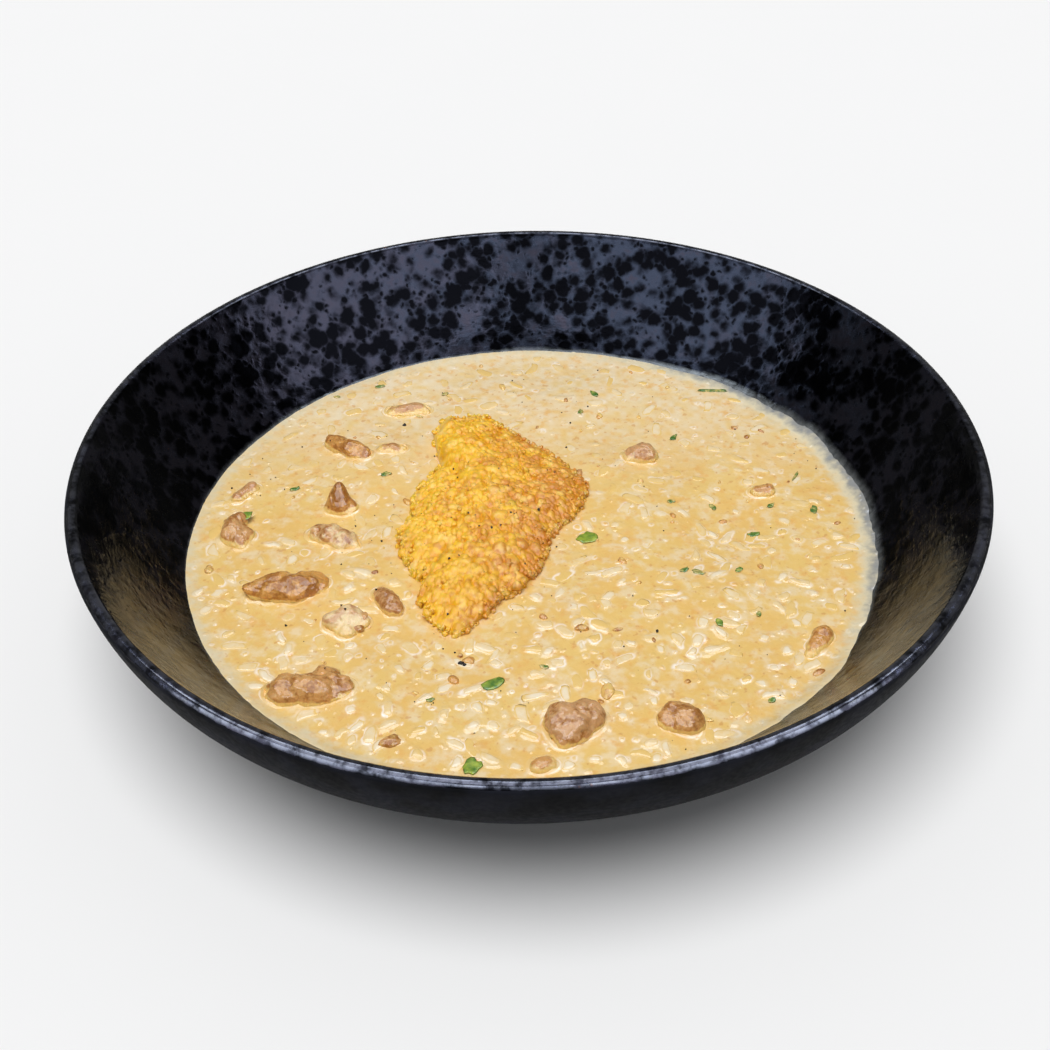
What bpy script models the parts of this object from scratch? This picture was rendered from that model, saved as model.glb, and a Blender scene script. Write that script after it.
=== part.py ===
"""Creamy risotto in a black stoneware bowl, with browned meat pieces and a golden crumb crisp.

The origin is under the middle of the bowl's foot, +Z is up, and -Y is the side that faces the viewer.
Every size is in metres. The bowl is turned from one profile. The risotto is one solid: a swelling core
that fills the bowl, with rice grains and chive pieces fused on. The meat pieces and the crisp are sunk
into it, each in a pocket that leaves a small gap.
"""

import math
import random

import bmesh
import bpy
import numpy as np
from mathutils import Matrix, Vector, noise

MM = 0.001
GAP = 0.4 * MM  # between the pieces that touch in the real dish
POCKET_GAP = 0.5 * MM  # from the corners of a meat piece to its pocket
WALL_GAP = 0.6 * MM  # between the risotto and the bowl
MERGE = 0.06 * MM  # points nearer than this become one

# The bowl
RIM_RADIUS = 130 * MM
BOWL_HEIGHT = 60 * MM
LIP = 2.1 * MM  # radius of the rounded lip, half the wall there
OUTER_BELLY = (124 * MM, 23 * MM)  # the control point that the outer wall bends towards
INNER_BELLY = (111 * MM, 38 * MM)  # the inner wall runs nearly straight down towards this one
INNER_HEEL = (101 * MM, 14 * MM)  # and then bends towards this one, into the floor
FOOT_RADIUS = 64 * MM
FOOT_HEIGHT = 5 * MM
FOOT_WIDTH = 5 * MM
FLOOR_RADIUS = 58 * MM  # where the wall curve meets the flat floor
FLOOR_Z = 12 * MM
UNDERSIDE_Z = 4.5 * MM  # the recess inside the foot ring
WALL_STEPS = 8
LIP_STEPS = 4
BOWL_SEGMENTS = 56

# The risotto
LEVEL = 27.2 * MM  # where its surface meets the wall
DOME = 1.0 * MM  # how much higher the middle is
SWELL = 0.22 * MM  # height of each of the waves that roll over the surface
SWELL_WAVES = 7
SWELL_LENGTHS = (26 * MM, 70 * MM)
TOP_CELLS = 16  # cells along each side of the square grid that is drawn out to a disc
SIDE_STEPS = 5

# Rice grains and chives on the surface
GRAIN = (8.0 * MM, 3.5 * MM, 2.7 * MM)  # length, width, height of a cooked grain
GRAIN_RISE = 0.1 * MM  # how far a grain's middle lies above the sauce
GRAIN_COUNT = 100
GRAIN_SPACING = 8.6 * MM
GRAIN_CELLS = (5, 3)  # round and from end to end
GRAIN_SHARE_AT_BACK = 0.45  # the far side is creamier, with fewer grains on top
LEAF_THICKNESS = 1.8 * MM
LEAF_RISE = 0.35 * MM
LEAVES = [  # the larger bits of green herb: x, y, length, width in millimetres, turn in degrees
    (-10.5, -64.6, 6.0, 4.0, 20), (-15.7, -93.2, 6.0, 4.5, 70), (16.1, -1.5, 6.0, 4.5, 40),
    (3.3, -58.4, 4.5, 3.0, 0), (52.4, -42.0, 4.5, 3.0, 100), (62.9, 74.0, 9.0, 2.2, -35),
    (-49.7, 80.5, 5.0, 3.0, 15), (47.3, 47.6, 5.0, 3.0, 60), (86.3, 7.5, 5.0, 3.0, 80),
    (66.8, -2.8, 5.0, 3.0, 10), (22.9, 72.3, 5.0, 3.0, 130), (48.7, -20.7, 4.5, 3.0, 160),
]

# The meat pieces: where each lies, then the balls whose blended outside gives its form, as
# x, y, height over the sauce and radius. All in millimetres, the balls measured from the piece's place.
MEAT = {
    "meat_01": ((-57.5, 43.0), [(-5.4, 4.0, 0, 2.8), (-1.9, 1.4, 0.5, 3.2), (2.0, -1.2, 0.9, 3.6),
                                (5.4, -3.0, 0, 3.1)]),
    "meat_02": ((-43.0, 42.5), [(-2.9, 0, -0.9, 2.4), (0.4, 0.3, -0.5, 2.6), (3.1, 0.4, -1.0, 2.2)]),
    "meat_03": ((-57.4, 14.5), [(0, 0, -1.0, 4.2), (-0.3, 0.7, 2.2, 3.1), (-0.4, 1.1, 4.6, 2.2),
                                (-0.4, 1.3, 6.3, 1.4), (-2.6, -0.6, -0.6, 2.8), (2.7, -0.4, -0.3, 2.6)]),
    "meat_04": ((-58.9, -1.0), [(-4.3, 2.3, -0.2, 3.5), (-0.5, 0.8, 0.8, 4.0), (3.3, -1.4, 0.2, 3.3),
                                (6.2, -3.0, -0.3, 2.2), (7.6, -3.8, -0.6, 1.5)]),
    "meat_05": ((-87.4, 3.0), [(-1.4, 3.9, 0.3, 3.6), (-1.6, -1.4, 0, 4.0), (1.0, -5.0, -0.5, 3.3),
                               (2.6, -1.8, 0, 3.0)]),
    "meat_06": ((-87.6, 22.0), [(1.8, 2.4, -0.6, 2.8), (-0.4, 0.2, -0.6, 2.6), (-2.3, -2.4, -0.3, 2.4)]),
    "meat_07": ((-39.5, 66.0), [(-5.0, 0, -1.0, 2.9), (-1.2, -0.5, -0.8, 3.1), (2.8, 0.6, -0.6, 3.2),
                                (5.6, 0.2, -1.0, 2.5)]),
    "meat_08": ((-69.4, -24.5), [(-9.2, -1.0, 0, 3.2), (-4.6, -0.4, 0.6, 4.2), (1.2, -0.9, 1.3, 4.9),
                                 (6.6, 1.6, 0.9, 3.9), (9.2, 2.2, 0.2, 2.6)]),
    "meat_09": ((-51.6, -39.5), [(-3.0, 0.8, 0, 3.9), (0.3, 3.4, 0.2, 3.7), (3.5, 1.2, -0.4, 2.9),
                                 (0, -2.3, -1.0, 3.3)]),
    "meat_10": ((-40.2, -31.0), [(-2.4, 3.6, -0.3, 2.9), (-0.5, 0.6, 0.4, 3.2), (1.5, -2.7, 0.3, 3.0)]),
    "meat_11": ((-59.2, -64.4), [(-7.6, -0.8, 0.3, 5.4), (-2.0, -1.6, 0.8, 4.5), (3.0, -1.5, 0.6, 4.7),
                                 (7.8, -0.4, 0.2, 4.1), (4.2, 4.2, 0.6, 3.9)]),
    "meat_12": ((10.5, -80.0), [(-3.0, 0.6, 0.9, 5.2), (3.8, 1.8, 0.6, 5.0), (-2.3, -3.8, 0.4, 4.1),
                                (1.4, -0.9, 1.5, 4.5)]),
    "meat_13": ((2.4, -93.3), [(-0.9, 0, -0.3, 2.8), (1.3, 0.3, -0.3, 2.5)]),
    "meat_14": ((38.2, -79.5), [(-1.9, 1.3, 0.2, 4.1), (2.0, -0.8, 0.3, 4.2), (0, 2.6, -0.3, 3.2)]),
    "meat_15": ((79.0, -50.5), [(1.2, 2.6, 0, 3.0), (-0.6, -0.4, 0, 2.6), (-2.7, -3.8, -0.4, 1.9)]),
    "meat_16": ((35.5, 36.5), [(-2.4, 0, -0.3, 3.0), (1.2, 0.5, 0.5, 3.7), (3.2, -0.5, -0.4, 2.6)]),
    "meat_17": ((71.5, 17.5), [(-1.4, 0, -0.3, 2.4), (1.5, 0.2, 0, 2.6)]),
}
UNDER = 0.5  # how much of its depth below the sauce a piece keeps, so that it clears the bowl
BLEND = 10  # the higher, the sharper the creases between the balls
MEAT_CELLS = (8, 5)  # round and from pole to pole
BIG_MEAT = 14 * MM
BIG_MEAT_CELLS = (12, 7)

# The crisp: the corners of its broken outline, in millimetres, anticlockwise from its right tip
CRISP_CENTRE = (-14.0, 6.0)
CRISP_OUTLINE = [
    (20, 22), (10, 36), (-3, 50), (-13, 61), (-26, 61), (-31, 51), (-28, 33), (-36, 19),
    (-36, 6), (-41, -2), (-37, -15), (-31, -25), (-33, -33), (-30, -41), (-21, -48),
    (-12, -42), (-8, -33), (0, -28), (5, -15), (8, -2), (17, 9),
]
CRISP_SUNK = 0.9 * MM
CRISP_EDGE = 3.2 * MM  # thickness of its broken edge above the sauce
CRISP_CROWN = 5.0 * MM  # how much thicker it is along the middle
CRISP_LUMPS = 0.8 * MM
CRISP_LUMP_SIZE = 4.5 * MM
CRISP_JITTER = 0.55 * MM  # how far its corners stray, for a crumbly top
CRISP_CELLS = 18
CRUMB_SIZES = (3.2 * MM, 5.2 * MM)
CRUMB_COUNT = 15
CRUMB_SPACING = 9.5 * MM
CRUMB_CELLS = (5, 4)

COLOURS = {  # linear base colour, roughness
    "glazed_stoneware": ((0.012, 0.013, 0.018), 0.25),
    "risotto": ((0.80, 0.58, 0.26), 0.35),
    "browned_meat": ((0.42, 0.22, 0.10), 0.35),
    "golden_crumb": ((0.80, 0.42, 0.06), 0.45),
}


# ---------------------------------------------------------------- curves and surfaces


def bend(controls, share):
    """The point at a share of the way along the Bezier curve that starts and ends with its controls."""
    while len(controls) > 1:
        controls = [tuple(a + (b - a) * share for a, b in zip(here, following))
                    for here, following in zip(controls, controls[1:])]
    return controls[0]


def lip_angle(belly, side):
    """The angle on the lip's circle where the wall curve that bends towards belly leaves it squarely.

    side is 1 for the outer wall and -1 for the inner one, whose normal points the other way.
    """
    run = belly[0] - (RIM_RADIUS - LIP + side * LIP)
    fall = belly[1] - (BOWL_HEIGHT - LIP)
    return math.atan2(side * run, -side * fall)


def lip_point(angle):
    """A point of the rounded lip, as radius and height."""
    return (RIM_RADIUS - LIP + LIP * math.cos(angle), BOWL_HEIGHT - LIP + LIP * math.sin(angle))


def inner_wall(share, inset=0.0):
    """A point of the bowl's inner wall, from the lip (0) to the floor (1), moved inset into the bowl."""
    controls = [lip_point(lip_angle(INNER_BELLY, -1)), INNER_BELLY, INNER_HEEL, (FLOOR_RADIUS, FLOOR_Z)]
    radius, height = bend(controls, share)
    step = 0.001
    before, after = bend(controls, share - step), bend(controls, share + step)
    run, fall = after[0] - before[0], after[1] - before[1]
    length = math.hypot(run, fall)
    return (radius + inset * fall / length, height - inset * run / length)


def share_at_height(height, inset):
    """How far down the inner wall a height lies, by halving."""
    low, high = 0.0, 1.0
    for _ in range(40):
        middle = (low + high) / 2
        if inner_wall(middle, inset)[1] > height:
            low = middle
        else:
            high = middle
    return low


def smooth_step(low, high, value):
    """0 below low, 1 above high, and an S-shaped rise between."""
    share = min(1.0, max(0.0, (value - low) / (high - low)))
    return share * share * (3 - 2 * share)


def swell_waves():
    """The waves that roll over the risotto: direction, phase and length of each."""
    draw = random.Random(11)
    waves = []
    for _ in range(SWELL_WAVES):
        turn = draw.uniform(0, math.pi)
        length = draw.uniform(*SWELL_LENGTHS)
        waves.append((2 * math.pi * math.cos(turn) / length, 2 * math.pi * math.sin(turn) / length,
                      draw.uniform(0, 2 * math.pi)))
    return waves


WAVES = swell_waves()


def crisp_radius(angle):
    """The crisp's outline as a distance from its centre in a direction: rays met by the broken outline."""
    direction = (math.cos(angle), math.sin(angle))
    best = 0.0
    corners = [((x - CRISP_CENTRE[0]) * MM, (y - CRISP_CENTRE[1]) * MM) for x, y in CRISP_OUTLINE]
    for (ax, ay), (bx, by) in zip(corners, corners[1:] + corners[:1]):
        across = direction[0] * (by - ay) - direction[1] * (bx - ax)
        if abs(across) < 1e-12:
            continue
        along_ray = (ax * (by - ay) - ay * (bx - ax)) / across
        along_edge = (ax * direction[1] - ay * direction[0]) / across
        if along_ray > 0 and 0 <= along_edge <= 1:
            best = max(best, along_ray)
    return best


def crisp_distance(x, y):
    """How far a point lies outside the crisp's outline along the ray from its centre; negative inside."""
    across, along = x - CRISP_CENTRE[0] * MM, y - CRISP_CENTRE[1] * MM
    return math.hypot(across, along) - crisp_radius(math.atan2(along, across))


def surface_height(x, y):
    """Height of the sauce: level at the wall, domed, with rolling waves, and calm under the crisp."""
    edge = inner_wall(share_at_height(LEVEL, WALL_GAP), WALL_GAP)[0]
    out = min(1.0, math.hypot(x, y) / edge)
    waves = SWELL * sum(math.sin(kx * x + ky * y + phase) for kx, ky, phase in WAVES)
    calm = smooth_step(1 * MM, 12 * MM, crisp_distance(x, y))
    return LEVEL + (1 - out**2) * DOME + waves * calm * (1 - out**6)


# ---------------------------------------------------------------- Blender helpers


def finish(name, mesh, colour):
    """Puts a finished mesh into the scene as a named node with its material."""
    piece = bpy.data.objects.new(name, mesh)
    bpy.context.scene.collection.objects.link(piece)
    base, roughness = COLOURS[colour]
    material = bpy.data.materials.get(colour) or bpy.data.materials.new(colour)
    material.use_nodes = True
    shader = material.node_tree.nodes["Principled BSDF"]
    shader.inputs["Base Color"].default_value = (*base, 1)
    shader.inputs["Roughness"].default_value = roughness
    mesh.materials.append(material)
    return piece


def mesh_from(vertices, faces, name):
    """A mesh whose faces all point outwards."""
    mesh = bpy.data.meshes.new(name)
    mesh.from_pydata([tuple(v) for v in vertices], [], faces)
    shape = bmesh.new()
    shape.from_mesh(mesh)
    bmesh.ops.recalc_face_normals(shape, faces=shape.faces)
    shape.to_mesh(mesh)
    shape.free()
    return mesh


def ball_grid(around, down):
    """Directions over a sphere and the faces that join them: a fan at each pole and bands between."""
    directions = [(0.0, 0.0, 1.0)]
    for row in range(1, down):
        tilt = math.pi * row / down
        for column in range(around):
            turn = 2 * math.pi * (column + 0.5 * (row % 2)) / around
            flat = math.sin(tilt)
            directions.append((flat * math.cos(turn), flat * math.sin(turn), math.cos(tilt)))
    directions.append((0.0, 0.0, -1.0))
    faces = []
    last = len(directions) - 1
    for column in range(around):
        following = (column + 1) % around
        faces.append((0, 1 + column, 1 + following))
        faces.append((last, last - around + following, last - around + column))
        for row in range(down - 2):
            here, below = 1 + row * around, 1 + (row + 1) * around
            shift = 0 if row % 2 else 1
            faces.append((here + column, below + column, here + following) if not shift
                         else (here + column, below + column, below + following))
            faces.append((here + following, below + column, below + following) if not shift
                         else (here + column, below + following, here + following))
    return np.array(directions), faces


def disc_grid(cells):
    """A square grid drawn out to a disc of radius 1: its points, its faces and the corners of its edge."""
    points = []
    for row in range(cells + 1):
        for column in range(cells + 1):
            a, b = 2 * column / cells - 1, 2 * row / cells - 1
            if abs(a) < 1e-9 and abs(b) < 1e-9:
                points.append((0.0, 0.0))
                continue
            if abs(a) > abs(b):
                reach, turn = a, math.pi / 4 * b / a
            else:
                reach, turn = b, math.pi / 2 - math.pi / 4 * a / b
            points.append((reach * math.cos(turn), reach * math.sin(turn)))
    wide = cells + 1
    faces = [(r * wide + c, r * wide + c + 1, (r + 1) * wide + c + 1, (r + 1) * wide + c)
             for r in range(cells) for c in range(cells)]
    edge = ([c for c in range(cells)] + [r * wide + cells for r in range(cells)]
            + [cells * wide + c for c in range(cells, 0, -1)] + [r * wide for r in range(cells, 0, -1)])
    return points, faces, edge


def new_group(name):
    """An empty collection in the scene."""
    group = bpy.data.collections.new(name)
    bpy.context.scene.collection.children.link(group)
    return group


def add_copies(group, name, mesh, places):
    """Separate objects that share a mesh, each placed by a matrix, in a collection."""
    for number, place in enumerate(places):
        copy = bpy.data.objects.new(f"{name}_{number}", mesh)
        copy.matrix_world = place
        group.objects.link(copy)


def combine(piece, group, operation, solver="MANIFOLD"):
    """Joins a collection onto a piece, or cuts it out, with one Boolean, and removes the collection."""
    bpy.context.view_layer.update()
    cut = piece.modifiers.new("combine", "BOOLEAN")
    cut.operand_type = "COLLECTION"
    cut.collection = group
    cut.operation = operation
    cut.solver = solver
    solved = bpy.data.meshes.new_from_object(piece.evaluated_get(bpy.context.evaluated_depsgraph_get()))
    piece.modifiers.clear()
    for old in list(group.objects):
        bpy.data.objects.remove(old)
    bpy.data.collections.remove(group)
    piece.data = solved


def tidy_up(piece):
    """Keeps the largest connected body of a piece and removes scraps, bubbles and slivers of no width."""
    shape = bmesh.new()
    shape.from_mesh(piece.data)
    unseen = set(shape.verts)
    bodies = []
    while unseen:
        body, edge = set(), [unseen.pop()]
        while edge:
            vertex = edge.pop()
            body.add(vertex)
            for link in vertex.link_edges:
                other = link.other_vert(vertex)
                if other in unseen:
                    unseen.remove(other)
                    edge.append(other)
        bodies.append(body)
    keep = max(bodies, key=len)
    bmesh.ops.delete(shape, geom=[v for body in bodies if body is not keep for v in body], context="VERTS")
    bmesh.ops.remove_doubles(shape, verts=shape.verts, dist=MERGE)
    bmesh.ops.triangulate(shape, faces=shape.faces)
    seen = {}
    for face in shape.faces:
        seen.setdefault(frozenset(face.verts), []).append(face)
    doubled = [face for group in seen.values() if len(group) > 1 for face in group]
    bmesh.ops.delete(shape, geom=doubled, context="FACES")
    shape.to_mesh(piece.data)
    shape.free()


# ---------------------------------------------------------------- the bowl


def bowl_profile():
    """The turned outline, from the middle of the underside, over the lip, to the middle of the floor."""
    outer, inner = lip_angle(OUTER_BELLY, 1), lip_angle(INNER_BELLY, -1)
    foot_inside = FOOT_RADIUS - FOOT_WIDTH
    ease = 1 * MM
    points = [
        (0, UNDERSIDE_Z),
        (foot_inside - 2 * ease, UNDERSIDE_Z),
        (foot_inside, ease),
        (foot_inside + ease, 0),
        (FOOT_RADIUS - 1.5 * ease, 0),
        (FOOT_RADIUS - 0.5 * ease, ease),
    ]
    points += [bend([(FOOT_RADIUS, FOOT_HEIGHT), OUTER_BELLY, lip_point(outer)], n / WALL_STEPS)
               for n in range(WALL_STEPS)]
    points += [lip_point(outer + (inner - outer) * n / LIP_STEPS) for n in range(LIP_STEPS)]
    points += [inner_wall(n / WALL_STEPS) for n in range(WALL_STEPS + 1)]
    points.append((0, FLOOR_Z))
    return points


def turn_profile(points, segments):
    """Vertices and faces of a profile turned about Z, whose first and last points lie on the axis."""
    vertices = [(0, 0, points[0][1])]
    for radius, height in points[1:-1]:
        for column in range(segments):
            turn = 2 * math.pi * column / segments
            vertices.append((radius * math.cos(turn), radius * math.sin(turn), height))
    vertices.append((0, 0, points[-1][1]))
    last = len(vertices) - 1
    faces = []
    for column in range(segments):
        following = (column + 1) % segments
        faces.append((0, 1 + column, 1 + following))
        faces.append((last, last - segments + column, last - segments + following))
        for row in range(len(points) - 3):
            here, above = 1 + row * segments, 1 + (row + 1) * segments
            faces.append((here + column, above + column, above + following, here + following))
    return vertices, faces


def make_bowl():
    """The bowl, one turned solid with a foot ring, a thickening wall and a rounded lip."""
    vertices, faces = turn_profile(bowl_profile(), BOWL_SEGMENTS)
    finish("bowl", mesh_from(vertices, faces, "bowl"), "glazed_stoneware")


# ---------------------------------------------------------------- the meat pieces


def meat_reach(directions, balls):
    """How far out the surface of blended balls lies in each direction from their middle.

    A ball at c of radius r is met at b + sqrt(b b - c c + r r), where b is c along the direction, or
    at b where the ray passes it by. The highest of these, blended by a power mean, is the reach.
    """
    total = np.zeros(len(directions))
    for *centre, radius in balls:
        centre = np.array(centre)
        along = directions @ centre
        inside = along**2 - centre @ centre + radius**2
        hit = np.maximum(along, 0) + np.sqrt(np.maximum(inside, 0))
        total += hit**BLEND
    return total ** (1 / BLEND)


def meat_frame(balls):
    """The middle of a piece's balls and the half sizes of the box round them."""
    table = np.array(balls)
    low, high = (table[:, :3] - table[:, 3:]).min(0), (table[:, :3] + table[:, 3:]).max(0)
    middle = (table[:, :3] * table[:, 3:] ** 3).sum(0) / (table[:, 3] ** 3).sum()
    return middle, (high - low) / 2


def meat_mesh(name, grow=0.0):
    """A meat piece, or the pocket for it when it is grown by a distance."""
    (x, y), balls = MEAT[name]
    middle, half = meat_frame(balls)
    cells = BIG_MEAT_CELLS if 2 * half[0] * MM > BIG_MEAT else MEAT_CELLS
    directions, faces = ball_grid(*cells)
    directions = directions * half
    directions /= np.linalg.norm(directions, axis=1)[:, None]
    local = [(bx - middle[0], by - middle[1], bz - middle[2], radius) for bx, by, bz, radius in balls]
    points = directions * meat_reach(directions, local)[:, None] + middle
    points[:, 2] = np.where(points[:, 2] < 0, points[:, 2] * UNDER, points[:, 2])
    points = points * MM + np.array([x * MM, y * MM, surface_height(x * MM, y * MM)])
    mesh = mesh_from(points, faces, name)
    for vertex, outwards in zip(mesh.vertices, [v.normal.copy() for v in mesh.vertices]):
        vertex.co += outwards * grow
    return mesh


def make_meat():
    """The browned meat pieces, each a node of its own."""
    for name in MEAT:
        finish(name, meat_mesh(name), "browned_meat")


# ---------------------------------------------------------------- the crisp


def crisp_point(px, py):
    """Where a point of the unit disc lies once the disc is drawn out to the crisp's outline."""
    reach = math.hypot(px, py) * crisp_radius(math.atan2(py, px))
    turn = math.atan2(py, px)
    return CRISP_CENTRE[0] * MM + reach * math.cos(turn), CRISP_CENTRE[1] * MM + reach * math.sin(turn)


def crisp_slot():
    """The space that the crisp takes out of the risotto: its outline grown by the gap, with a flat floor."""
    points, _, edge = disc_grid(CRISP_CELLS)
    ring = [np.array(crisp_point(*points[corner])) for corner in edge]
    floor, top = LEVEL + DOME - CRISP_SUNK - GAP, LEVEL + DOME + 6 * MM
    grown = []
    for before, point, after in zip(ring[-1:] + ring[:-1], ring, ring[1:] + ring[:1]):
        along = after - before
        grown.append(point + GAP * np.array([along[1], -along[0]]) / np.linalg.norm(along))
    vertices = [(x, y, z) for z in (floor, top) for x, y in grown]
    count = len(grown)
    sides = [(n, (n + 1) % count, count + (n + 1) % count, count + n) for n in range(count)]
    return mesh_from(vertices, sides + [tuple(range(count)), tuple(range(count, 2 * count))], "slot")


def crisp_height(x, y):
    """Height of the crisp's top: a blunt broken edge, a crown along the middle and soft ripples."""
    across, along = x - CRISP_CENTRE[0] * MM, y - CRISP_CENTRE[1] * MM
    share = min(1.0, math.hypot(across, along) / crisp_radius(math.atan2(along, across)))
    lumps = sum(noise.noise(Vector((x, y, 0)) / (wide * CRISP_LUMP_SIZE)) for wide in (1, 3))
    return (LEVEL + DOME + CRISP_EDGE * (1 - share**8) ** 0.5 + CRISP_CROWN * (1 - share**2)
            + CRISP_LUMPS * 2 * lumps * (1 - share**6))


def crisp_core():
    """The crisp without its crumbs: a crowned slab over the broken outline, rough on top, flat underneath."""
    draw = random.Random(9)
    floor = LEVEL + DOME - CRISP_SUNK
    points, faces, edge = disc_grid(CRISP_CELLS)
    on_edge = set(edge)
    vertices = []
    for corner, point in enumerate(points):
        x, y = crisp_point(*point)
        stray = 0 if corner in on_edge else CRISP_JITTER
        vertices.append((x + draw.uniform(-stray, stray), y + draw.uniform(-stray, stray),
                         crisp_height(x, y) + 2 * draw.uniform(-stray, stray)))
    below = range(len(vertices), len(vertices) + len(edge))
    vertices += [(*crisp_point(*points[corner]), floor) for corner in edge]
    for n, corner in enumerate(edge):
        following = (n + 1) % len(edge)
        faces.append((corner, below[n], below[following], edge[following]))
    faces.append(tuple(below))
    return mesh_from(vertices, faces, "crisp")


def make_crisp():
    """The golden crisp: the slab with large crumbs fused on."""
    piece = finish("crisp", crisp_core(), "golden_crumb")
    directions, faces = ball_grid(*CRUMB_CELLS)
    crumb = mesh_from(directions / 2, faces, "crumb")
    draw = random.Random(5)
    places, centres = [], []
    while len(places) < CRUMB_COUNT:
        turn, out = draw.uniform(0, 2 * math.pi), math.sqrt(draw.uniform(0, 1)) * 0.88
        reach = crisp_radius(turn) * out
        x = CRISP_CENTRE[0] * MM + reach * math.cos(turn)
        y = CRISP_CENTRE[1] * MM + reach * math.sin(turn)
        size = draw.uniform(*CRUMB_SIZES)
        tilt = draw.uniform(0, math.pi)
        near_edge = -crisp_distance(x, y) < 0.75 * size
        crowded = any(math.hypot(x - cx, y - cy) < CRUMB_SPACING for cx, cy in centres)
        if near_edge or crowded:
            if len(centres) and draw.random() < 0.0005:
                break
            continue
        centres.append((x, y))
        places.append(Matrix.Translation((x, y, crisp_height(x, y) - 0.1 * size))
                      @ Matrix.Rotation(tilt, 4, (0.3, 0.5, 1.0))
                      @ Matrix.Diagonal((size * 1.2, size, size * 0.9, 1)))
    crumbs = new_group("crumbs")
    add_copies(crumbs, "crumb", crumb, places)
    combine(piece, crumbs, "UNION")
    tidy_up(piece)


# ---------------------------------------------------------------- the risotto


def risotto_core():
    """What fills the bowl: its side follows the inner wall and its top is the swelling surface."""
    points, faces, edge = disc_grid(TOP_CELLS)
    top_share = share_at_height(LEVEL, WALL_GAP)
    edge_radius = inner_wall(top_share, WALL_GAP)[0]
    vertices = [(px * edge_radius, py * edge_radius, surface_height(px * edge_radius, py * edge_radius))
                for px, py in points]
    ring = edge
    for step in range(1, SIDE_STEPS + 1):
        radius, height = inner_wall(top_share + (1 - top_share) * step / SIDE_STEPS, WALL_GAP)
        first = len(vertices)
        vertices += [(points[corner][0] * radius, points[corner][1] * radius, height) for corner in edge]
        below = list(range(first, first + len(edge)))
        for n in range(len(edge)):
            following = (n + 1) % len(edge)
            faces.append((ring[n], below[n], below[following], ring[following]))
        ring = below
    faces.append(tuple(ring))
    return mesh_from(vertices, faces, "risotto")


def clear_of_pieces(x, y, room):
    """True where a small thing of that reach stays clear of the crisp, the meat and the wall."""
    if crisp_distance(x, y) < room + 1.5 * MM:
        return False
    for (mx, my), balls in MEAT.values():
        for bx, by, _, radius in balls:
            if math.hypot(x - (mx + bx) * MM, y - (my + by) * MM) < radius * MM + room:
                return False
    edge = inner_wall(share_at_height(LEVEL, WALL_GAP), WALL_GAP)[0]
    return math.hypot(x, y) < edge - room - 1.5 * MM


def spread_places():
    """Where the grains lie: spread over the open surface by seeded draws, each turned at random."""
    draw = random.Random(3)
    edge = inner_wall(share_at_height(LEVEL, WALL_GAP), WALL_GAP)[0]
    room = GRAIN[0] / 2
    taken = [(x * MM, y * MM) for x, y, *_ in LEAVES]
    places = []
    for _ in range(40 * GRAIN_COUNT):
        turn, out = draw.uniform(0, 2 * math.pi), edge * math.sqrt(draw.random())
        x, y = out * math.cos(turn), out * math.sin(turn)
        share = 1 - (1 - GRAIN_SHARE_AT_BACK) * smooth_step(-10 * MM, 50 * MM, y)
        crowded = any(math.hypot(x - px, y - py) < GRAIN_SPACING for px, py in taken)
        if len(places) == GRAIN_COUNT:
            break
        if draw.random() < share and not crowded and clear_of_pieces(x, y, room):
            taken.append((x, y))
            places.append((x, y, draw.uniform(0, math.pi)))
    return places


def flat_place(x, y, rise, turn):
    """A place on the sauce, risen by a distance and turned about Z."""
    return Matrix.Translation((x, y, surface_height(x, y) + rise)) @ Matrix.Rotation(turn, 4, "Z")


def fuse_grains(piece):
    """Joins the rice grains and the bits of herb onto the risotto's core with one union."""
    directions, faces = ball_grid(*GRAIN_CELLS)
    lying = directions[:, [2, 0, 1]]  # poles at the ends
    grain = mesh_from(lying / 2 * np.array(GRAIN), faces, "grain")
    leaf = mesh_from(lying / 2, faces, "leaf")
    group = new_group("grains")
    add_copies(group, "grain", grain, [flat_place(x, y, GRAIN_RISE, turn) for x, y, turn in spread_places()])
    add_copies(group, "leaf", leaf, [
        flat_place(x * MM, y * MM, LEAF_RISE, math.radians(turn))
        @ Matrix.Diagonal((length * MM, width * MM, LEAF_THICKNESS, 1))
        for x, y, length, width, turn in LEAVES])
    combine(piece, group, "UNION")


def make_risotto():
    """The risotto: the core with its grains and herbs, and pockets for what is sunk into it."""
    piece = finish("risotto", risotto_core(), "risotto")
    fuse_grains(piece)
    pockets = new_group("pockets")
    for name in MEAT:
        pocket = bpy.data.objects.new(f"pocket_{name}", meat_mesh(name, grow=POCKET_GAP))
        pockets.objects.link(pocket)
    pockets.objects.link(bpy.data.objects.new("slot", crisp_slot()))
    combine(piece, pockets, "DIFFERENCE")
    tidy_up(piece)


def main():
    for old in list(bpy.data.objects):
        bpy.data.objects.remove(old)
    make_bowl()
    make_meat()
    make_crisp()
    make_risotto()


main()
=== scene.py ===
"""Creamy risotto in a black stoneware bowl: the dressed model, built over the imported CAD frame."""

import math
import random

import bpy
import numpy as np
from bpy.props import FloatProperty, FloatVectorProperty, IntProperty, PointerProperty
from mathutils import Matrix, Vector


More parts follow.
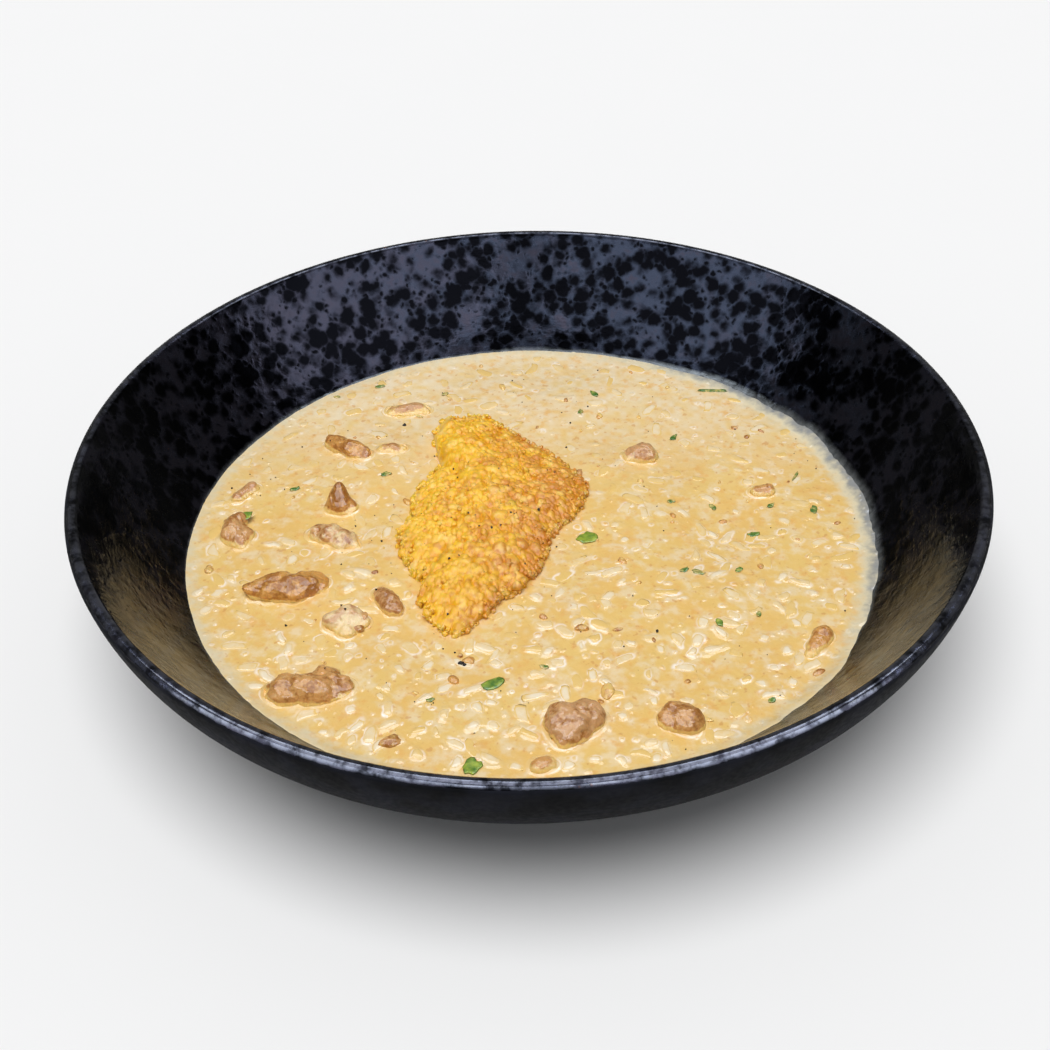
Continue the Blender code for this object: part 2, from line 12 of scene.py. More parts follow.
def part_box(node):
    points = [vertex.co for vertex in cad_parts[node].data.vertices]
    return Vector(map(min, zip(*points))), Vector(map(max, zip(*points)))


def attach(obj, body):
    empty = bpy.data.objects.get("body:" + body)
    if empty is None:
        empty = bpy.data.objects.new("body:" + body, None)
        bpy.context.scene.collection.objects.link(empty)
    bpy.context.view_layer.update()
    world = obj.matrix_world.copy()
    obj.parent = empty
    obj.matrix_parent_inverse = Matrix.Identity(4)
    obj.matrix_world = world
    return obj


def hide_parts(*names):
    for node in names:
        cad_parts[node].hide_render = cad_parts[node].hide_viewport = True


bl_info = {
    "name": "Risotto bowl",
    "version": (1, 0, 0),
    "blender": (4, 5, 0),
    "location": "View3D > Sidebar > Risotto",
    "description": "Builds a bowl of creamy risotto with browned meat and a golden crisp",
    "category": "Add Mesh",
}

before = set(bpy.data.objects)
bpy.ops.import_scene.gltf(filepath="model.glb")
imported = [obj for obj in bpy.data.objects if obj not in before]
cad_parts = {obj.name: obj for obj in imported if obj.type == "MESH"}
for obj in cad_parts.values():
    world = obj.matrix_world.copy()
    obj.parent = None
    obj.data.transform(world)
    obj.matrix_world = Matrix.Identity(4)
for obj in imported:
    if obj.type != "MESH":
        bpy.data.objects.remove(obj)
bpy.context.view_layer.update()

MM = 0.001
BODY = "root"
TAU = 2 * math.pi
BOWL_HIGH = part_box("bowl")[1]
CRISP_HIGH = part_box("crisp")[1]
MEAT_NODES = sorted(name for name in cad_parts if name.startswith("meat_"))

# The frame gives where the solids are. These forms repeat the CAD's own, in millimetres.
OUTER_BELLY = (124, 23)
INNER_BELLY, INNER_HEEL = (111, 38), (101, 14)
# Each piece of meat: where its middle lies, and its balls from there: x, y, height over the sauce, radius
MEAT_BALLS = {
    "meat_01": ((-57.5, 43), [(-5.4, 4, 0, 2.8), (-1.9, 1.4, 0.5, 3.2), (2, -1.2, 0.9, 3.6),
        (5.4, -3, 0, 3.1)]),
    "meat_02": ((-43, 42.5), [(-2.9, 0, -0.9, 2.4), (0.4, 0.3, -0.5, 2.6), (3.1, 0.4, -1, 2.2)]),
    "meat_03": ((-57.4, 14.5), [(0, 0, -1, 4.2), (-0.3, 0.7, 2.2, 3.1), (-0.4, 1.1, 4.6, 2.2),
        (-0.4, 1.3, 6.3, 1.4), (-2.6, -0.6, -0.6, 2.8), (2.7, -0.4, -0.3, 2.6)]),
    "meat_04": ((-58.9, -1), [(-4.3, 2.3, -0.2, 3.5), (-0.5, 0.8, 0.8, 4), (3.3, -1.4, 0.2, 3.3),
        (6.2, -3, -0.3, 2.2), (7.6, -3.8, -0.6, 1.5)]),
    "meat_05": ((-87.4, 3), [(-1.4, 3.9, 0.3, 3.6), (-1.6, -1.4, 0, 4), (1, -5, -0.5, 3.3),
        (2.6, -1.8, 0, 3)]),
    "meat_06": ((-87.6, 22), [(1.8, 2.4, -0.6, 2.8), (-0.4, 0.2, -0.6, 2.6), (-2.3, -2.4, -0.3, 2.4)]),
    "meat_07": ((-39.5, 66), [(-5, 0, -1, 2.9), (-1.2, -0.5, -0.8, 3.1), (2.8, 0.6, -0.6, 3.2),
        (5.6, 0.2, -1, 2.5)]),
    "meat_08": ((-69.4, -24.5), [(-9.2, -1, 0, 3.2), (-4.6, -0.4, 0.6, 4.2), (1.2, -0.9, 1.3, 4.9),
        (6.6, 1.6, 0.9, 3.9), (9.2, 2.2, 0.2, 2.6)]),
    "meat_09": ((-51.6, -39.5), [(-3, 0.8, 0, 3.9), (0.3, 3.4, 0.2, 3.7), (3.5, 1.2, -0.4, 2.9),
        (0, -2.3, -1, 3.3)]),
    "meat_10": ((-40.2, -31), [(-2.4, 3.6, -0.3, 2.9), (-0.5, 0.6, 0.4, 3.2), (1.5, -2.7, 0.3, 3)]),
    "meat_11": ((-59.2, -64.4), [(-7.6, -0.8, 0.3, 5.4), (-2, -1.6, 0.8, 4.5), (3, -1.5, 0.6, 4.7),
        (7.8, -0.4, 0.2, 4.1), (4.2, 4.2, 0.6, 3.9)]),
    "meat_12": ((10.5, -80), [(-3, 0.6, 0.9, 5.2), (3.8, 1.8, 0.6, 5), (-2.3, -3.8, 0.4, 4.1),
        (1.4, -0.9, 1.5, 4.5)]),
    "meat_13": ((2.4, -93.3), [(-0.9, 0, -0.3, 2.8), (1.3, 0.3, -0.3, 2.5)]),
    "meat_14": ((38.2, -79.5), [(-1.9, 1.3, 0.2, 4.1), (2, -0.8, 0.3, 4.2), (0, 2.6, -0.3, 3.2)]),
    "meat_15": ((79, -50.5), [(1.2, 2.6, 0, 3), (-0.6, -0.4, 0, 2.6), (-2.7, -3.8, -0.4, 1.9)]),
    "meat_16": ((35.5, 36.5), [(-2.4, 0, -0.3, 3), (1.2, 0.5, 0.5, 3.7), (3.2, -0.5, -0.4, 2.6)]),
    "meat_17": ((71.5, 17.5), [(-1.4, 0, -0.3, 2.4), (1.5, 0.2, 0, 2.6)]),
}
# How far cream covers each piece, how brown it is, and how pink
MEAT_LOOK = {
    "meat_01": (0.05, 0.55, 0.1), "meat_02": (0.15, 0.2, 0.7), "meat_03": (0.0, 0.7, 0.2),
    "meat_04": (0.4, 0.6, 0.6), "meat_05": (0.15, 0.5, 0.6), "meat_06": (0.2, 0.2, 0.9),
    "meat_07": (0.2, 0.2, 0.9), "meat_08": (0.05, 0.6, 0.05), "meat_09": (0.4, 0.3, 0.9),
    "meat_10": (0.1, 0.5, 0.7), "meat_11": (0.05, 0.45, 0.4), "meat_12": (0.1, 0.35, 0.8),
    "meat_13": (0.3, 0.3, 0.4), "meat_14": (0.1, 0.5, 0.4), "meat_15": (0.1, 0.4, 0.2),
    "meat_16": (0.3, 0.2, 0.8), "meat_17": (0.2, 0.4, 0.3),
}
# The crisp seen from above: its centre and its broken outline
CRISP_CENTRE = (-14, 6)
CRISP_OUTLINE = [
    (20, 22), (10, 36), (-3, 50), (-13, 61), (-26, 61), (-31, 51), (-28, 33), (-36, 19), (-36, 6), (-41, -2),
    (-37, -15), (-31, -25), (-33, -33), (-30, -41), (-21, -48), (-12, -42), (-8, -33), (0, -28), (5, -15),
    (8, -2), (17, 9),
]
# Bits of green herb: x, y, length, width, turn in degrees, how bright
HERBS = [
    (-86, 8.5, 4.2, 3, 60, 0.8), (-36.6, 63.4, 5.5, 0.9, -35, 0.3), (-72.8, 24.1, 2.6, 1.5, 20, 0.5),
    (-63.6, 75, 2, 1.2, 0, 0.4), (-49.7, 80.5, 2.8, 1.6, 15, 0.5), (-44.5, 29, 2.6, 1.9, 10, 0.5),
    (-10.5, -64.6, 5.8, 3.4, 22, 0.7), (-15.7, -93.2, 4.6, 3.6, 75, 0.75), (3.3, -58.4, 2.2, 1.3, -20, 0.4),
    (52.4, -42, 2.8, 1.7, 100, 0.7), (44.5, -78.6, 4.6, 1.2, -15, 0.1), (62.9, -72.1, 2, 1.4, 30, 0.6),
    (62.9, 74, 9, 1.5, -4, 0.5), (47.3, 47.6, 3, 1.6, 60, 0.5), (43.6, 12.9, 2.4, 1.5, 10, 0.4),
    (56, 10.6, 2.6, 1.4, 120, 0.5), (73.7, 10.5, 2.2, 1.4, 40, 0.5), (86.3, 7.5, 3.4, 1.6, 80, 0.5),
    (66.8, -2.8, 3, 1.6, 10, 0.6), (83.2, 24.8, 4.4, 0.8, 60, 0.4), (89.2, 48.5, 2.4, 1.5, 20, 0.5),
    (17.2, -3.5, 4.8, 4.4, 40, 0.85), (-27.2, 75.3, 2.4, 1.4, 45, 0.4), (22.9, 72.3, 3.2, 1.8, 130, 0.6),
    (17.9, 61.9, 2.4, 1.5, 80, 0.4), (48.7, -20.7, 3.2, 1.8, 160, 0.4), (44.6, -19.6, 2.4, 1.5, 30, 0.5),
    (63.8, -38.6, 2, 1.2, 75, 0.5), (60.4, -19.8, 2.2, 1.4, 35, 0.6), (-27, -70, 2, 1.2, 15, 0.5),
]
# Small tan bits in the sauce: x, y, size, how brown
WET_FLECKS = [
    (-94, -14, 3.4, 0.7), (-37.2, 15.5, 3, 0.5), (-17, -55, 3.2, 0.5), (-21, -63, 3.4, 0.3),
    (14, -43.5, 3.6, 0.5), (20, -68, 4.4, 0.4), (15.5, 28, 3.2, 0.4), (77, -62, 3.2, 0.5),
    (-37, -84, 4.6, 0.7), (27, -15, 2.6, 0.4), (-8, 78, 3, 0.3), (24, -44, 2.2, 0.7),
    (-48.6, -41.5, 3.8, 0.9), (-46.4, -38, 2.4, 0.5), (3.5, -38.5, 2.6, 0.6), (58.5, 4, 2.4, 0.5),
    (35, 23, 2.2, 0.5), (24, 60, 2.6, 0.4),
]
# The larger specks of pepper: x, y, radius
PEPPERCORNS = [
    (-40, 57.3, 0.75), (34.9, -45.2, 0.5), (-19.3, -55.9, 1.1), (-18.2, -56.6, 0.7), (-53.2, -34, 0.4),
    (-51.8, -37, 0.4), (12.6, 42.5, 0.35), (14.3, 55.8, 0.35), (20.3, 64.9, 0.3), (-43.9, -3.2, 0.35),
    (3.7, -16.3, 0.35), (-1.3, -19.3, 0.4), (5.9, -9.5, 0.3), (-9, 21.8, 0.45), (2.1, 24.5, 0.4),
    (6.2, 23.9, 0.35), (8.3, 22.8, 0.35), (3, 3, 0.5), (-11, -6.5, 0.55), (-23, -19, 0.4), (-23, -39.7, 0.35),
    (-31.9, 3.7, 0.35), (-14.1, -15.2, 0.3), (-11.5, -18.4, 0.3), (4.2, 35, 0.3), (-22.9, 24.9, 0.3),
]


# ---------------------------------------------------------------- sizes and colours a user may change


def linear(hex_colour):
    """Linear red, green and blue of an sRGB hex colour.

    Above a short straight run each is ((c + 0.055) / 1.055) ^ 2.4.
    """
    parts = [int(hex_colour[n:n + 2], 16) / 255 for n in (1, 3, 5)]
    return tuple(c / 12.92 if c <= 0.04045 else ((c + 0.055) / 1.055) ** 2.4 for c in parts)


def length(name, millimetres, description):
    """A length property whose default is in millimetres."""
    return FloatProperty(name=name, description=description, default=millimetres * MM, subtype="DISTANCE",
                         unit="LENGTH")


def colour(name, hex_colour, description):
    """A colour property whose default is an sRGB hex value."""
    return FloatVectorProperty(name=name, description=description, default=linear(hex_colour),
                               subtype="COLOR", min=0.0, max=1.0)


class RisottoSizes(bpy.types.PropertyGroup):
    """Sizes of the dish. The defaults are the CAD's."""

    lip: length("Lip radius", 2.1, "Radius of the rounded lip, half the wall there")
    foot_radius: length("Foot radius", 64, "Outer radius of the foot ring")
    foot_height: length("Foot height", 5, "Height of the foot ring")
    foot_width: length("Foot width", 5, "Width of the foot ring")
    floor_radius: length("Floor radius", 58, "Where the inner wall meets the flat floor")
    floor_height: length("Floor height", 12, "Height of the flat floor inside")
    underside: length("Underside", 4.5, "Height of the recess inside the foot ring")
    level: length("Sauce level", 27.2, "Height of the sauce at the wall")
    dome: length("Dome", 1.0, "How much higher the middle of the risotto is")
    swell: length("Swell", 0.22, "Height of each wave that rolls over the surface")
    grain_length: length("Grain length", 6.6, "Mean length of a cooked grain of rice")
    grain_width: length("Grain width", 3.3, "Mean width of a cooked grain of rice")
    grain_count: IntProperty(name="Grains", description="Most grains that show at the surface", default=330)
    crisp_edge: length("Crisp edge", 3.2, "Thickness of the crisp's broken edge above the sauce")
    crisp_crown: length("Crisp crown", 5.0, "How much thicker the crisp is along the middle")
    crumb: length("Crumb radius", 0.68, "Mean radius of the crisp's granules")
    collar: length("Sauce collar", 1.1, "How far out the sauce starts to climb at a piece of meat")


class RisottoColours(bpy.types.PropertyGroup):
    """Colours of the dish."""

    glaze: colour("Glaze", "#201e24", "Blue-black glaze of the bowl")
    # Blue-grey of thick glaze, also laid on as a painted sheen that is strongest at the back right
    glaze_bloom_and_sheen: colour("Glaze bloom", "#1d2028", "Blue-grey bloom where the glaze is thick")
    glaze_pit: colour("Glaze pit", "#030304", "Bare dark pits in the glaze")
    glaze_rust: colour("Rim rust", "#7c5127", "Iron that shows where the rim's glaze breaks")
    # Painted highlight: paler dashes along the lip's crest, where its shine would lie
    glaze_crest_highlight: colour("Glaze crest", "#3c4052", "Paler glaze in dashes along the rim's crest")
    glaze_rubbed: colour("Rubbed glaze", "#12131a", "Thin glaze outside and below")
    grey_film: colour("Film on the glaze", "#787c7d", "Sauce that has thinned out over the wall")
    cream: colour("Cream", "#e4c072", "The sauce")
    cream_deep: colour("Deep cream", "#e4bb6c", "Sauce where butter and stock gather")
    cream_pale: colour("Pale cream", "#e9dcc1", "Sauce drawn thin over rice")
    cream_film: colour("Thin cream", "#d6ccae", "Sauce that runs thin near the wall")
    sauce_film: colour("Grey sauce", "#85888a", "Sauce so thin at the wall that the glaze shows")
    butter: colour("Butter stain", "#e2ae60", "Where fat and browned juices colour the sauce")
    butter_speck: colour("Butter speck", "#cb9050", "Small browner specks in the sauce")
    # Painted highlight: a near-white line round grains, droplets and meat, where the wet sauce would shine
    painted_highlight_line: colour("Wet line", "#fbf0e2", "The thin bright line where sauce climbs round a grain")
    rice: colour("Rice", "#ede0c6", "Cooked rice")
    meat: colour("Meat", "#d29a4c", "Cooked meat")
    meat_brown: colour("Browned meat", "#985f20", "Where the pan has browned it")
    meat_pink: colour("Pale meat", "#c79a6e", "Where it is only cooked through")
    # Painted highlight: light glints laid on the flesh at random
    meat_painted_glint: colour("Light meat", "#e9c490", "Light marks on the flesh")
    # Painted shade: each piece's low edge, darker and more orange towards the sauce
    meat_low_shade: colour("Meat's foot", "#b97a35", "Its orange-brown low edge")
    # Painted shade in the creases
    meat_crease_shade: colour("Meat's creases", "#7a4d26", "The creases between its lumps")
    crumb: colour("Crumb", "#f0bb18", "Golden crumb")
    crumb_dark: colour("Toasted crumb", "#c67a0e", "Where the crisp is toasted")
    crumb_pale: colour("Pale crumb", "#f7d070", "Patches that are hardly toasted")
    # Painted highlight on the granules' tops, and painted shade, deeper orange, in the crevices between them
    crumb_top_highlight: colour("Crumb tops", "#f6d480", "The tops of the granules")
    crumb_crevice_shade: colour("Crumb crevices", "#cf8a1c", "Between the granules")
    herb: colour("Herb", "#3d6a0c", "Chopped green herb")
    herb_bright: colour("Bright herb", "#9bab1c", "Its lighter side")
    pepper: colour("Pepper", "#15110c", "Ground black pepper")
    pepper_face: colour("Broken pepper", "#4a3a26", "Its paler broken faces")
    table: colour("Table", "#eeeeee", "The pale table")
    table_shade: colour("Table clouds", "#e2e2e2", "Its faint clouds")


# ---------------------------------------------------------------- curves, noise and meshes


def bend(controls, share):
    """A Bezier curve for an array of shares s: each pass puts (1 - s) a + s b between neighbours a and b."""
    s = np.asarray(share, float)[..., None]
    points = [np.array(point, float) for point in controls]
    while len(points) > 1:
        points = [(1 - s) * a + s * b for a, b in zip(points, points[1:])]
    return points[0]


def lip_angle(sizes, belly, side):
    """Where on the lip's circle the wall curve towards a belly point leaves it, as an angle."""
    run = belly[0] * MM - (BOWL_HIGH.x - sizes.lip + side * sizes.lip)
    fall = belly[1] * MM - (BOWL_HIGH.z - sizes.lip)
    return math.atan2(side * run, -side * fall)


def lip_point(sizes, angle):
    """Points of the rounded lip, a circle of the lip's radius, as radius and height."""
    angle = np.asarray(angle, float)
    return np.stack([BOWL_HIGH.x - sizes.lip + sizes.lip * np.cos(angle),
                     BOWL_HIGH.z - sizes.lip + sizes.lip * np.sin(angle)], -1)


def inner_wall(sizes, share):
    """Points of the inner wall, from the lip (0) to the floor (1): nearly straight, then into the floor."""
    start = lip_point(sizes, lip_angle(sizes, INNER_BELLY, -1))
    return bend([start, np.array(INNER_BELLY) * MM, np.array(INNER_HEEL) * MM,
                 (sizes.floor_radius, sizes.floor_height)], share)


def wall_radius(sizes, height):
    """Radius of the inner wall at a height, read off its curve."""
    curve = inner_wall(sizes, np.linspace(1, 0, 400))
    return np.interp(height, curve[:, 1], curve[:, 0])


def smooth_step(low, high, value):
    """0 below low, 1 above high, and s s (3 - 2 s) between."""
    s = np.clip((value - low) / (high - low), 0, 1)
    return s * s * (3 - 2 * s)


# Large odd numbers that turn a cube's corner and a seed into a random value
CORNER_KEYS = np.array([73856093, 19349663, 83492791])
SEED_KEY, FIRST_MIX, SECOND_MIX = 40503, 1274126177, 1103515245


def lattice_noise(points, size, seed):
    """Noise of -1 to 1: random values at the corners of cubes of that size, blended by s s (3 - 2 s)."""
    scaled = points / size
    cell = np.floor(scaled).astype(np.int64)
    s = scaled - cell
    s = s * s * (3 - 2 * s)
    total = np.zeros(points.shape[:-1])
    for corner in np.ndindex(2, 2, 2):
        at = cell + np.array(corner)
        mixed = (at * CORNER_KEYS).sum(-1) + seed * SEED_KEY
        mixed = ((mixed ^ (mixed >> 13)) * FIRST_MIX) & 0xFFFFFFFF
        value = (((mixed ^ (mixed >> 16)) * SECOND_MIX) & 0xFFFF) / 32767.5 - 1
        total += value * np.prod(np.where(np.array(corner) == 1, s, 1 - s), axis=-1)
    return total


def flat(x, y):
    """Points on the plane z = 0."""
    return np.stack([x, y, np.zeros_like(x)], -1)


def make_mesh(name, vertices, *face_arrays):
    """A smooth mesh from an array of points and arrays of faces, one array for each number of corners."""
    mesh = bpy.data.meshes.new(name)
    vertices = np.asarray(vertices, float).reshape(-1, 3)
    face_arrays = [np.asarray(faces, np.int64) for faces in face_arrays if len(faces)]
    corners = np.concatenate([faces.ravel() for faces in face_arrays])
    sizes = np.concatenate([np.full(len(faces), faces.shape[1]) for faces in face_arrays])
    mesh.vertices.add(len(vertices))
    mesh.vertices.foreach_set("co", vertices.ravel())
    mesh.loops.add(len(corners))
    mesh.loops.foreach_set("vertex_index", corners)
    mesh.polygons.add(len(sizes))
    mesh.polygons.foreach_set("loop_start", np.concatenate([[0], np.cumsum(sizes)[:-1]]))
    mesh.polygons.foreach_set("use_smooth", np.ones(len(sizes), bool))
    mesh.update(calc_edges=True)
    if mesh.validate():
        raise RuntimeError(f"{name}'s mesh had faults")
    return mesh


def tube_faces(rows, columns):
    """Quads between rings of points, numbered from 1 because point 0 is the pole before them."""
    row, column = np.mgrid[0:rows - 1, 0:columns]
    here = 1 + row * columns + column
    beside = 1 + row * columns + (column + 1) % columns
    return np.stack([here, beside, beside + columns, here + columns], -1).reshape(-1, 4)


def fan_faces(tip, first, columns, flipped=False):
    """Triangles from one point to a ring of points."""
    column = np.arange(columns)
    ring = [first + column, first + (column + 1) % columns]
    return np.stack([np.full(columns, tip), *(ring[::-1] if flipped else ring)], -1)


def capped_tube(rings, columns):
    """Quads and triangles of a closed body: its first point, rings of points, and its last point."""
    last = rings * columns + 1
    tris = np.concatenate([fan_faces(0, 1, columns), fan_faces(last, last - columns, columns, True)])
    return tube_faces(rings, columns)[:, ::-1], tris


def grid_faces(rows, columns):
    """Quads of an open grid of points, and the order of the points round its edge."""
    number = np.arange(rows * columns).reshape(rows, columns)
    quads = np.stack([number[:-1, :-1], number[:-1, 1:], number[1:, 1:], number[1:, :-1]], -1).reshape(-1, 4)
    edge = np.concatenate([number[0, :-1], number[:-1, -1], number[-1, :0:-1], number[:0:-1, 0]])
    return quads, edge


def ball_mesh_parts(rings, columns):
    """A unit ball as points and faces: two poles and rings between, as a pattern to copy."""
    tilt = np.linspace(0, math.pi, rings + 2)[1:-1, None]
    turn = (np.arange(columns) / columns * TAU)[None]
    band = np.stack([np.sin(tilt) * np.cos(turn), np.sin(tilt) * np.sin(turn), np.cos(tilt) + 0 * turn], -1)
    return np.concatenate([[(0, 0, 1)], band.reshape(-1, 3), [(0, 0, -1)]]), *capped_tube(rings, columns)


def many(points, quads, tris):
    """Copies of one pattern's faces, for an array of points of shape (copies, points, 3)."""
    step = (np.arange(len(points)) * points.shape[1])[:, None, None]
    return points.reshape(-1, 3), (quads[None] + step).reshape(-1, 4), (tris[None] + step).reshape(-1, 3)


def strewn(draw, count, reach):
    """Places drawn evenly over a disc."""
    out, turn = reach * np.sqrt(draw.random(count)), draw.uniform(0, TAU, count)
    return out * np.cos(turn), out * np.sin(turn)


def turned(points, angles):
    """Points of shape (copies, points, 3) turned about Z by one angle a copy."""
    c, s = np.cos(angles)[:, None], np.sin(angles)[:, None]
    return np.stack([points[..., 0] * c - points[..., 1] * s, points[..., 0] * s + points[..., 1] * c,
                     points[..., 2]], -1)


def store(mesh, **numbers):
    """Keeps numbers on a mesh's points, under the names by which its material reads them.

    A lone number fills all points, and points that an array doesn't reach get 0.
    """
    for name, values in numbers.items():
        values = np.ravel(values).astype(float)
        missing = len(mesh.vertices) - len(values)
        values = np.append(values, np.full(missing, values[0] if len(values) == 1 else 0))
        mesh.attributes.new(name, "FLOAT", "POINT").data.foreach_set("value", values)


def put(name, data):
    """Puts an object with that data into the scene."""
    item = bpy.data.objects.new(name, data)
    bpy.context.scene.collection.objects.link(item)
    return item


def add_piece(mesh, material, slot, *nodes):
    """Puts a finished mesh into the scene as a piece that rides on the dish and stands for its nodes."""
    piece = put(mesh.name, mesh)
    mesh.materials.append(material)
    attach(piece, BODY)
    if nodes:
        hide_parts(*nodes)


# ---------------------------------------------------------------- forms that several pieces share


def swell_waves():
    """The waves that roll over the risotto, as the CAD draws them: two wave numbers and a phase each."""
    draw = random.Random(11)
    waves = []
    for _ in range(7):
        turn = draw.uniform(0, math.pi)
        size = draw.uniform(26 * MM, 70 * MM)
        waves.append((TAU * math.cos(turn) / size, TAU * math.sin(turn) / size, draw.uniform(0, TAU)))
    return waves


WAVES = swell_waves()


def crisp_reach(angle):
    """How far the crisp's broken outline lies from its centre along rays, for an array of angles."""
    angle = np.asarray(angle, float)
    along, across = np.cos(angle), np.sin(angle)
    corners = (np.array(CRISP_OUTLINE, float) - CRISP_CENTRE) * MM
    best = np.zeros_like(angle)
    for (ax, ay), (bx, by) in zip(corners, np.roll(corners, -1, 0)):
        slant = along * (by - ay) - across * (bx - ax)
        slant = np.where(np.abs(slant) < 1e-12, 1e-12, slant)
        on_ray = (ax * (by - ay) - ay * (bx - ax)) / slant
        on_edge = (ax * across - ay * along) / slant
        met = (on_ray > 0) & (on_edge >= -1e-9) & (on_edge <= 1 + 1e-9)
        best = np.where(met, np.maximum(best, on_ray), best)
    return best


def crisp_rays(x, y):
    """How far points lie from the crisp's centre, and how far its outline does along the same rays."""
    across, along = x - CRISP_CENTRE[0] * MM, y - CRISP_CENTRE[1] * MM
    return np.hypot(across, along), crisp_reach(np.arctan2(along, across))


def crisp_distance(x, y):
    """How far points lie outside the crisp's outline along rays from its centre; negative inside."""
    out, reach = crisp_rays(x, y)
    return out - reach


def crisp_top(sizes, x, y):
    """The crisp's top, and q, the share of the way to its outline.

    The top is level + edge sqrt(1 - q^8) + crown (1 - q^2), with lumps of 9 and 4.5 mm that fade at the edge.
    """
    out, reach = crisp_rays(x, y)
    share = np.minimum(1, out / reach)
    lumps = lattice_noise(flat(x, y), 9 * MM, 6) + 0.7 * lattice_noise(flat(x, y), 4.5 * MM, 7)
    return (sizes.level + sizes.dome - 0.8 * MM + sizes.crisp_edge * np.sqrt(np.maximum(1 - share**8, 0))
            + sizes.crisp_crown * (1 - share**2) + 0.95 * MM * lumps * (1 - share**6)), share


def sauce_height(sizes, x, y):
    """Height of the smooth sauce: level at the wall, a dome, and waves that calm under the crisp."""
    out = np.minimum(1, np.hypot(x, y) / wall_radius(sizes, sizes.level))
    waves = sizes.swell * sum(np.sin(kx * x + ky * y + phase) for kx, ky, phase in WAVES)
    calm = smooth_step(1 * MM, 12 * MM, crisp_distance(x, y))
    return sizes.level + (1 - out**2) * sizes.dome + waves * calm * (1 - out**6)


def wall_climb(angle):
    """How far the sauce climbs the wall: most at the right and in front, in scallops of three sizes.

    The sizes are shares of the bowl's radius. At the back right the sauce hardly climbs.
    """
    around = np.stack([np.cos(angle), np.sin(angle), 0 * angle], -1)
    scallops = (0.5 + 0.33 * lattice_noise(around, 0.16, 15) + 0.16 * lattice_noise(around, 0.05, 19)
                + 0.1 * lattice_noise(around, 0.022, 20))
    right = smooth_step(-0.1, 0.7, np.cos(angle)) * smooth_step(0.9, 0.55, np.sin(angle))
    near = smooth_step(0.3, 0.9, -np.sin(angle))
    return (0.4 + 2.2 * right + 2.0 * near * (1 - right)) * scallops * MM


def blended_reach(rays, centres, squares):
    """How far out blended balls lie along rays: the tenth-power mean of b + sqrt(b b - c c + r r)."""
    total = np.zeros(len(rays))
    for centre, square in zip(centres, squares):
        along = rays @ centre
        total += (np.maximum(along, 0) + np.sqrt(np.maximum(along**2 - centre @ centre + square, 0))) ** 10
    return total**0.1


def meat_waterline(name, angle):
    """The middle of a meat piece and how far its outline at the sauce's surface lies from it, along rays.

    Each ball cuts the surface in a circle of r r - z z, and the circles are blended.
    """
    place, balls = MEAT_BALLS[name]
    table = np.array(balls)
    middle = (table[:, :2] * table[:, 3:] ** 3).sum(0) / (table[:, 3] ** 3).sum()
    rays = np.stack([np.cos(angle), np.sin(angle)], -1)
    circles = [max(radius**2 - z**2, 0.1) for _, _, z, radius in balls]
    return (middle + place) * MM, blended_reach(rays, table[:, :2] - middle, circles) * MM


def meat_distance(x, y):
    """How far points lie outside the nearest meat piece's balls, seen from above."""
    best = np.full(np.shape(x), 1.0)
    for place, balls in MEAT_BALLS.values():
        for bx, by, bz, radius in balls:
            ring = math.sqrt(max(radius**2 - bz**2, 0.1)) * MM
            best = np.minimum(best, np.hypot(x - (place[0] + bx) * MM, y - (place[1] + by) * MM) - ring)
    return best


# ---------------------------------------------------------------- materials


def add_node(tree, kind, inputs=None, out=0, **settings):
    """Adds a node with its settings, fills its sockets with values or links, and gives one of its outputs."""
    node = tree.nodes.new("ShaderNode" + kind)
    for name, value in settings.items():
        setattr(node, name, value)
    for socket, value in (inputs or {}).items():
        if isinstance(value, bpy.types.NodeSocket):
            tree.links.new(value, node.inputs[socket])
        else:
            node.inputs[socket].default_value = value
    return node.outputs[out]


SMOOTH = {"interpolation_type": "SMOOTHSTEP"}
SUM = {"operation": "MULTIPLY_ADD"}
TIMES = {"operation": "MULTIPLY"}
# The wet skin that sauce and rice share
WET = {"IOR": 1.42, "Specular IOR Level": 0.12, "Coat Weight": 1.0, "Coat Roughness": 0.06, "Coat IOR": 1.38}


def new_material(name, fixed, *stored):
    """A material whose Principled shader has its plain sockets set.

    Gives it with its tree, the place on the piece, and the numbers of these names that its points store.
    """
    material = bpy.data.materials.new(name)
    material.use_nodes = True
    tree = material.node_tree
    for socket, value in fixed.items():
        tree.nodes["Principled BSDF"].inputs[socket].default_value = value
    numbers = (add_node(tree, "Attribute", out="Fac", attribute_name=mark) for mark in stored)
    return material, tree, add_node(tree, "TexCoord", out="Object"), *numbers


def paint(value):
    """A colour property as four linear numbers. An output stays as it is."""
    return value if isinstance(value, bpy.types.NodeSocket) else (*value, 1.0)


def pitch(millimetres):
    """The scale of a pattern whose marks are that many millimetres across."""
    return 1 / (millimetres * MM)


def marks(tree, at, size, low, high, least=0.0, most=1.0, detail=3.0, roughness=0.5, share=1.0, stored=None):
    """Marks of a size in mm: noise, or its share plus a stored one, in a smooth step from least to most."""
    noise = add_node(tree, "TexNoise", {
        "Vector": at, "Scale": pitch(size), "Detail": detail, "Roughness": roughness})
    if stored is not None:
        noise = add_node(tree, "Math", {0: noise, 1: share, 2: stored}, **SUM)
    return add_node(tree, "MapRange", {0: noise, 1: low, 2: high, 3: least, 4: most}, **SMOOTH)


def coats(tree, shade, *layers):
    """Colours laid over a first one in turn, each as thickly as its number says."""
    for thickness, over in layers:
        shade = add_node(tree, "Mix", {0: thickness, 6: paint(shade), 7: paint(over)}, 2, data_type="RGBA")
    return shade


def link(material, varied):
    """Leads outputs to the shader's sockets, and gives the material."""
    tree = material.node_tree
    for socket, output in varied.items():
        tree.links.new(output, tree.nodes["Principled BSDF"].inputs[socket])
    return material


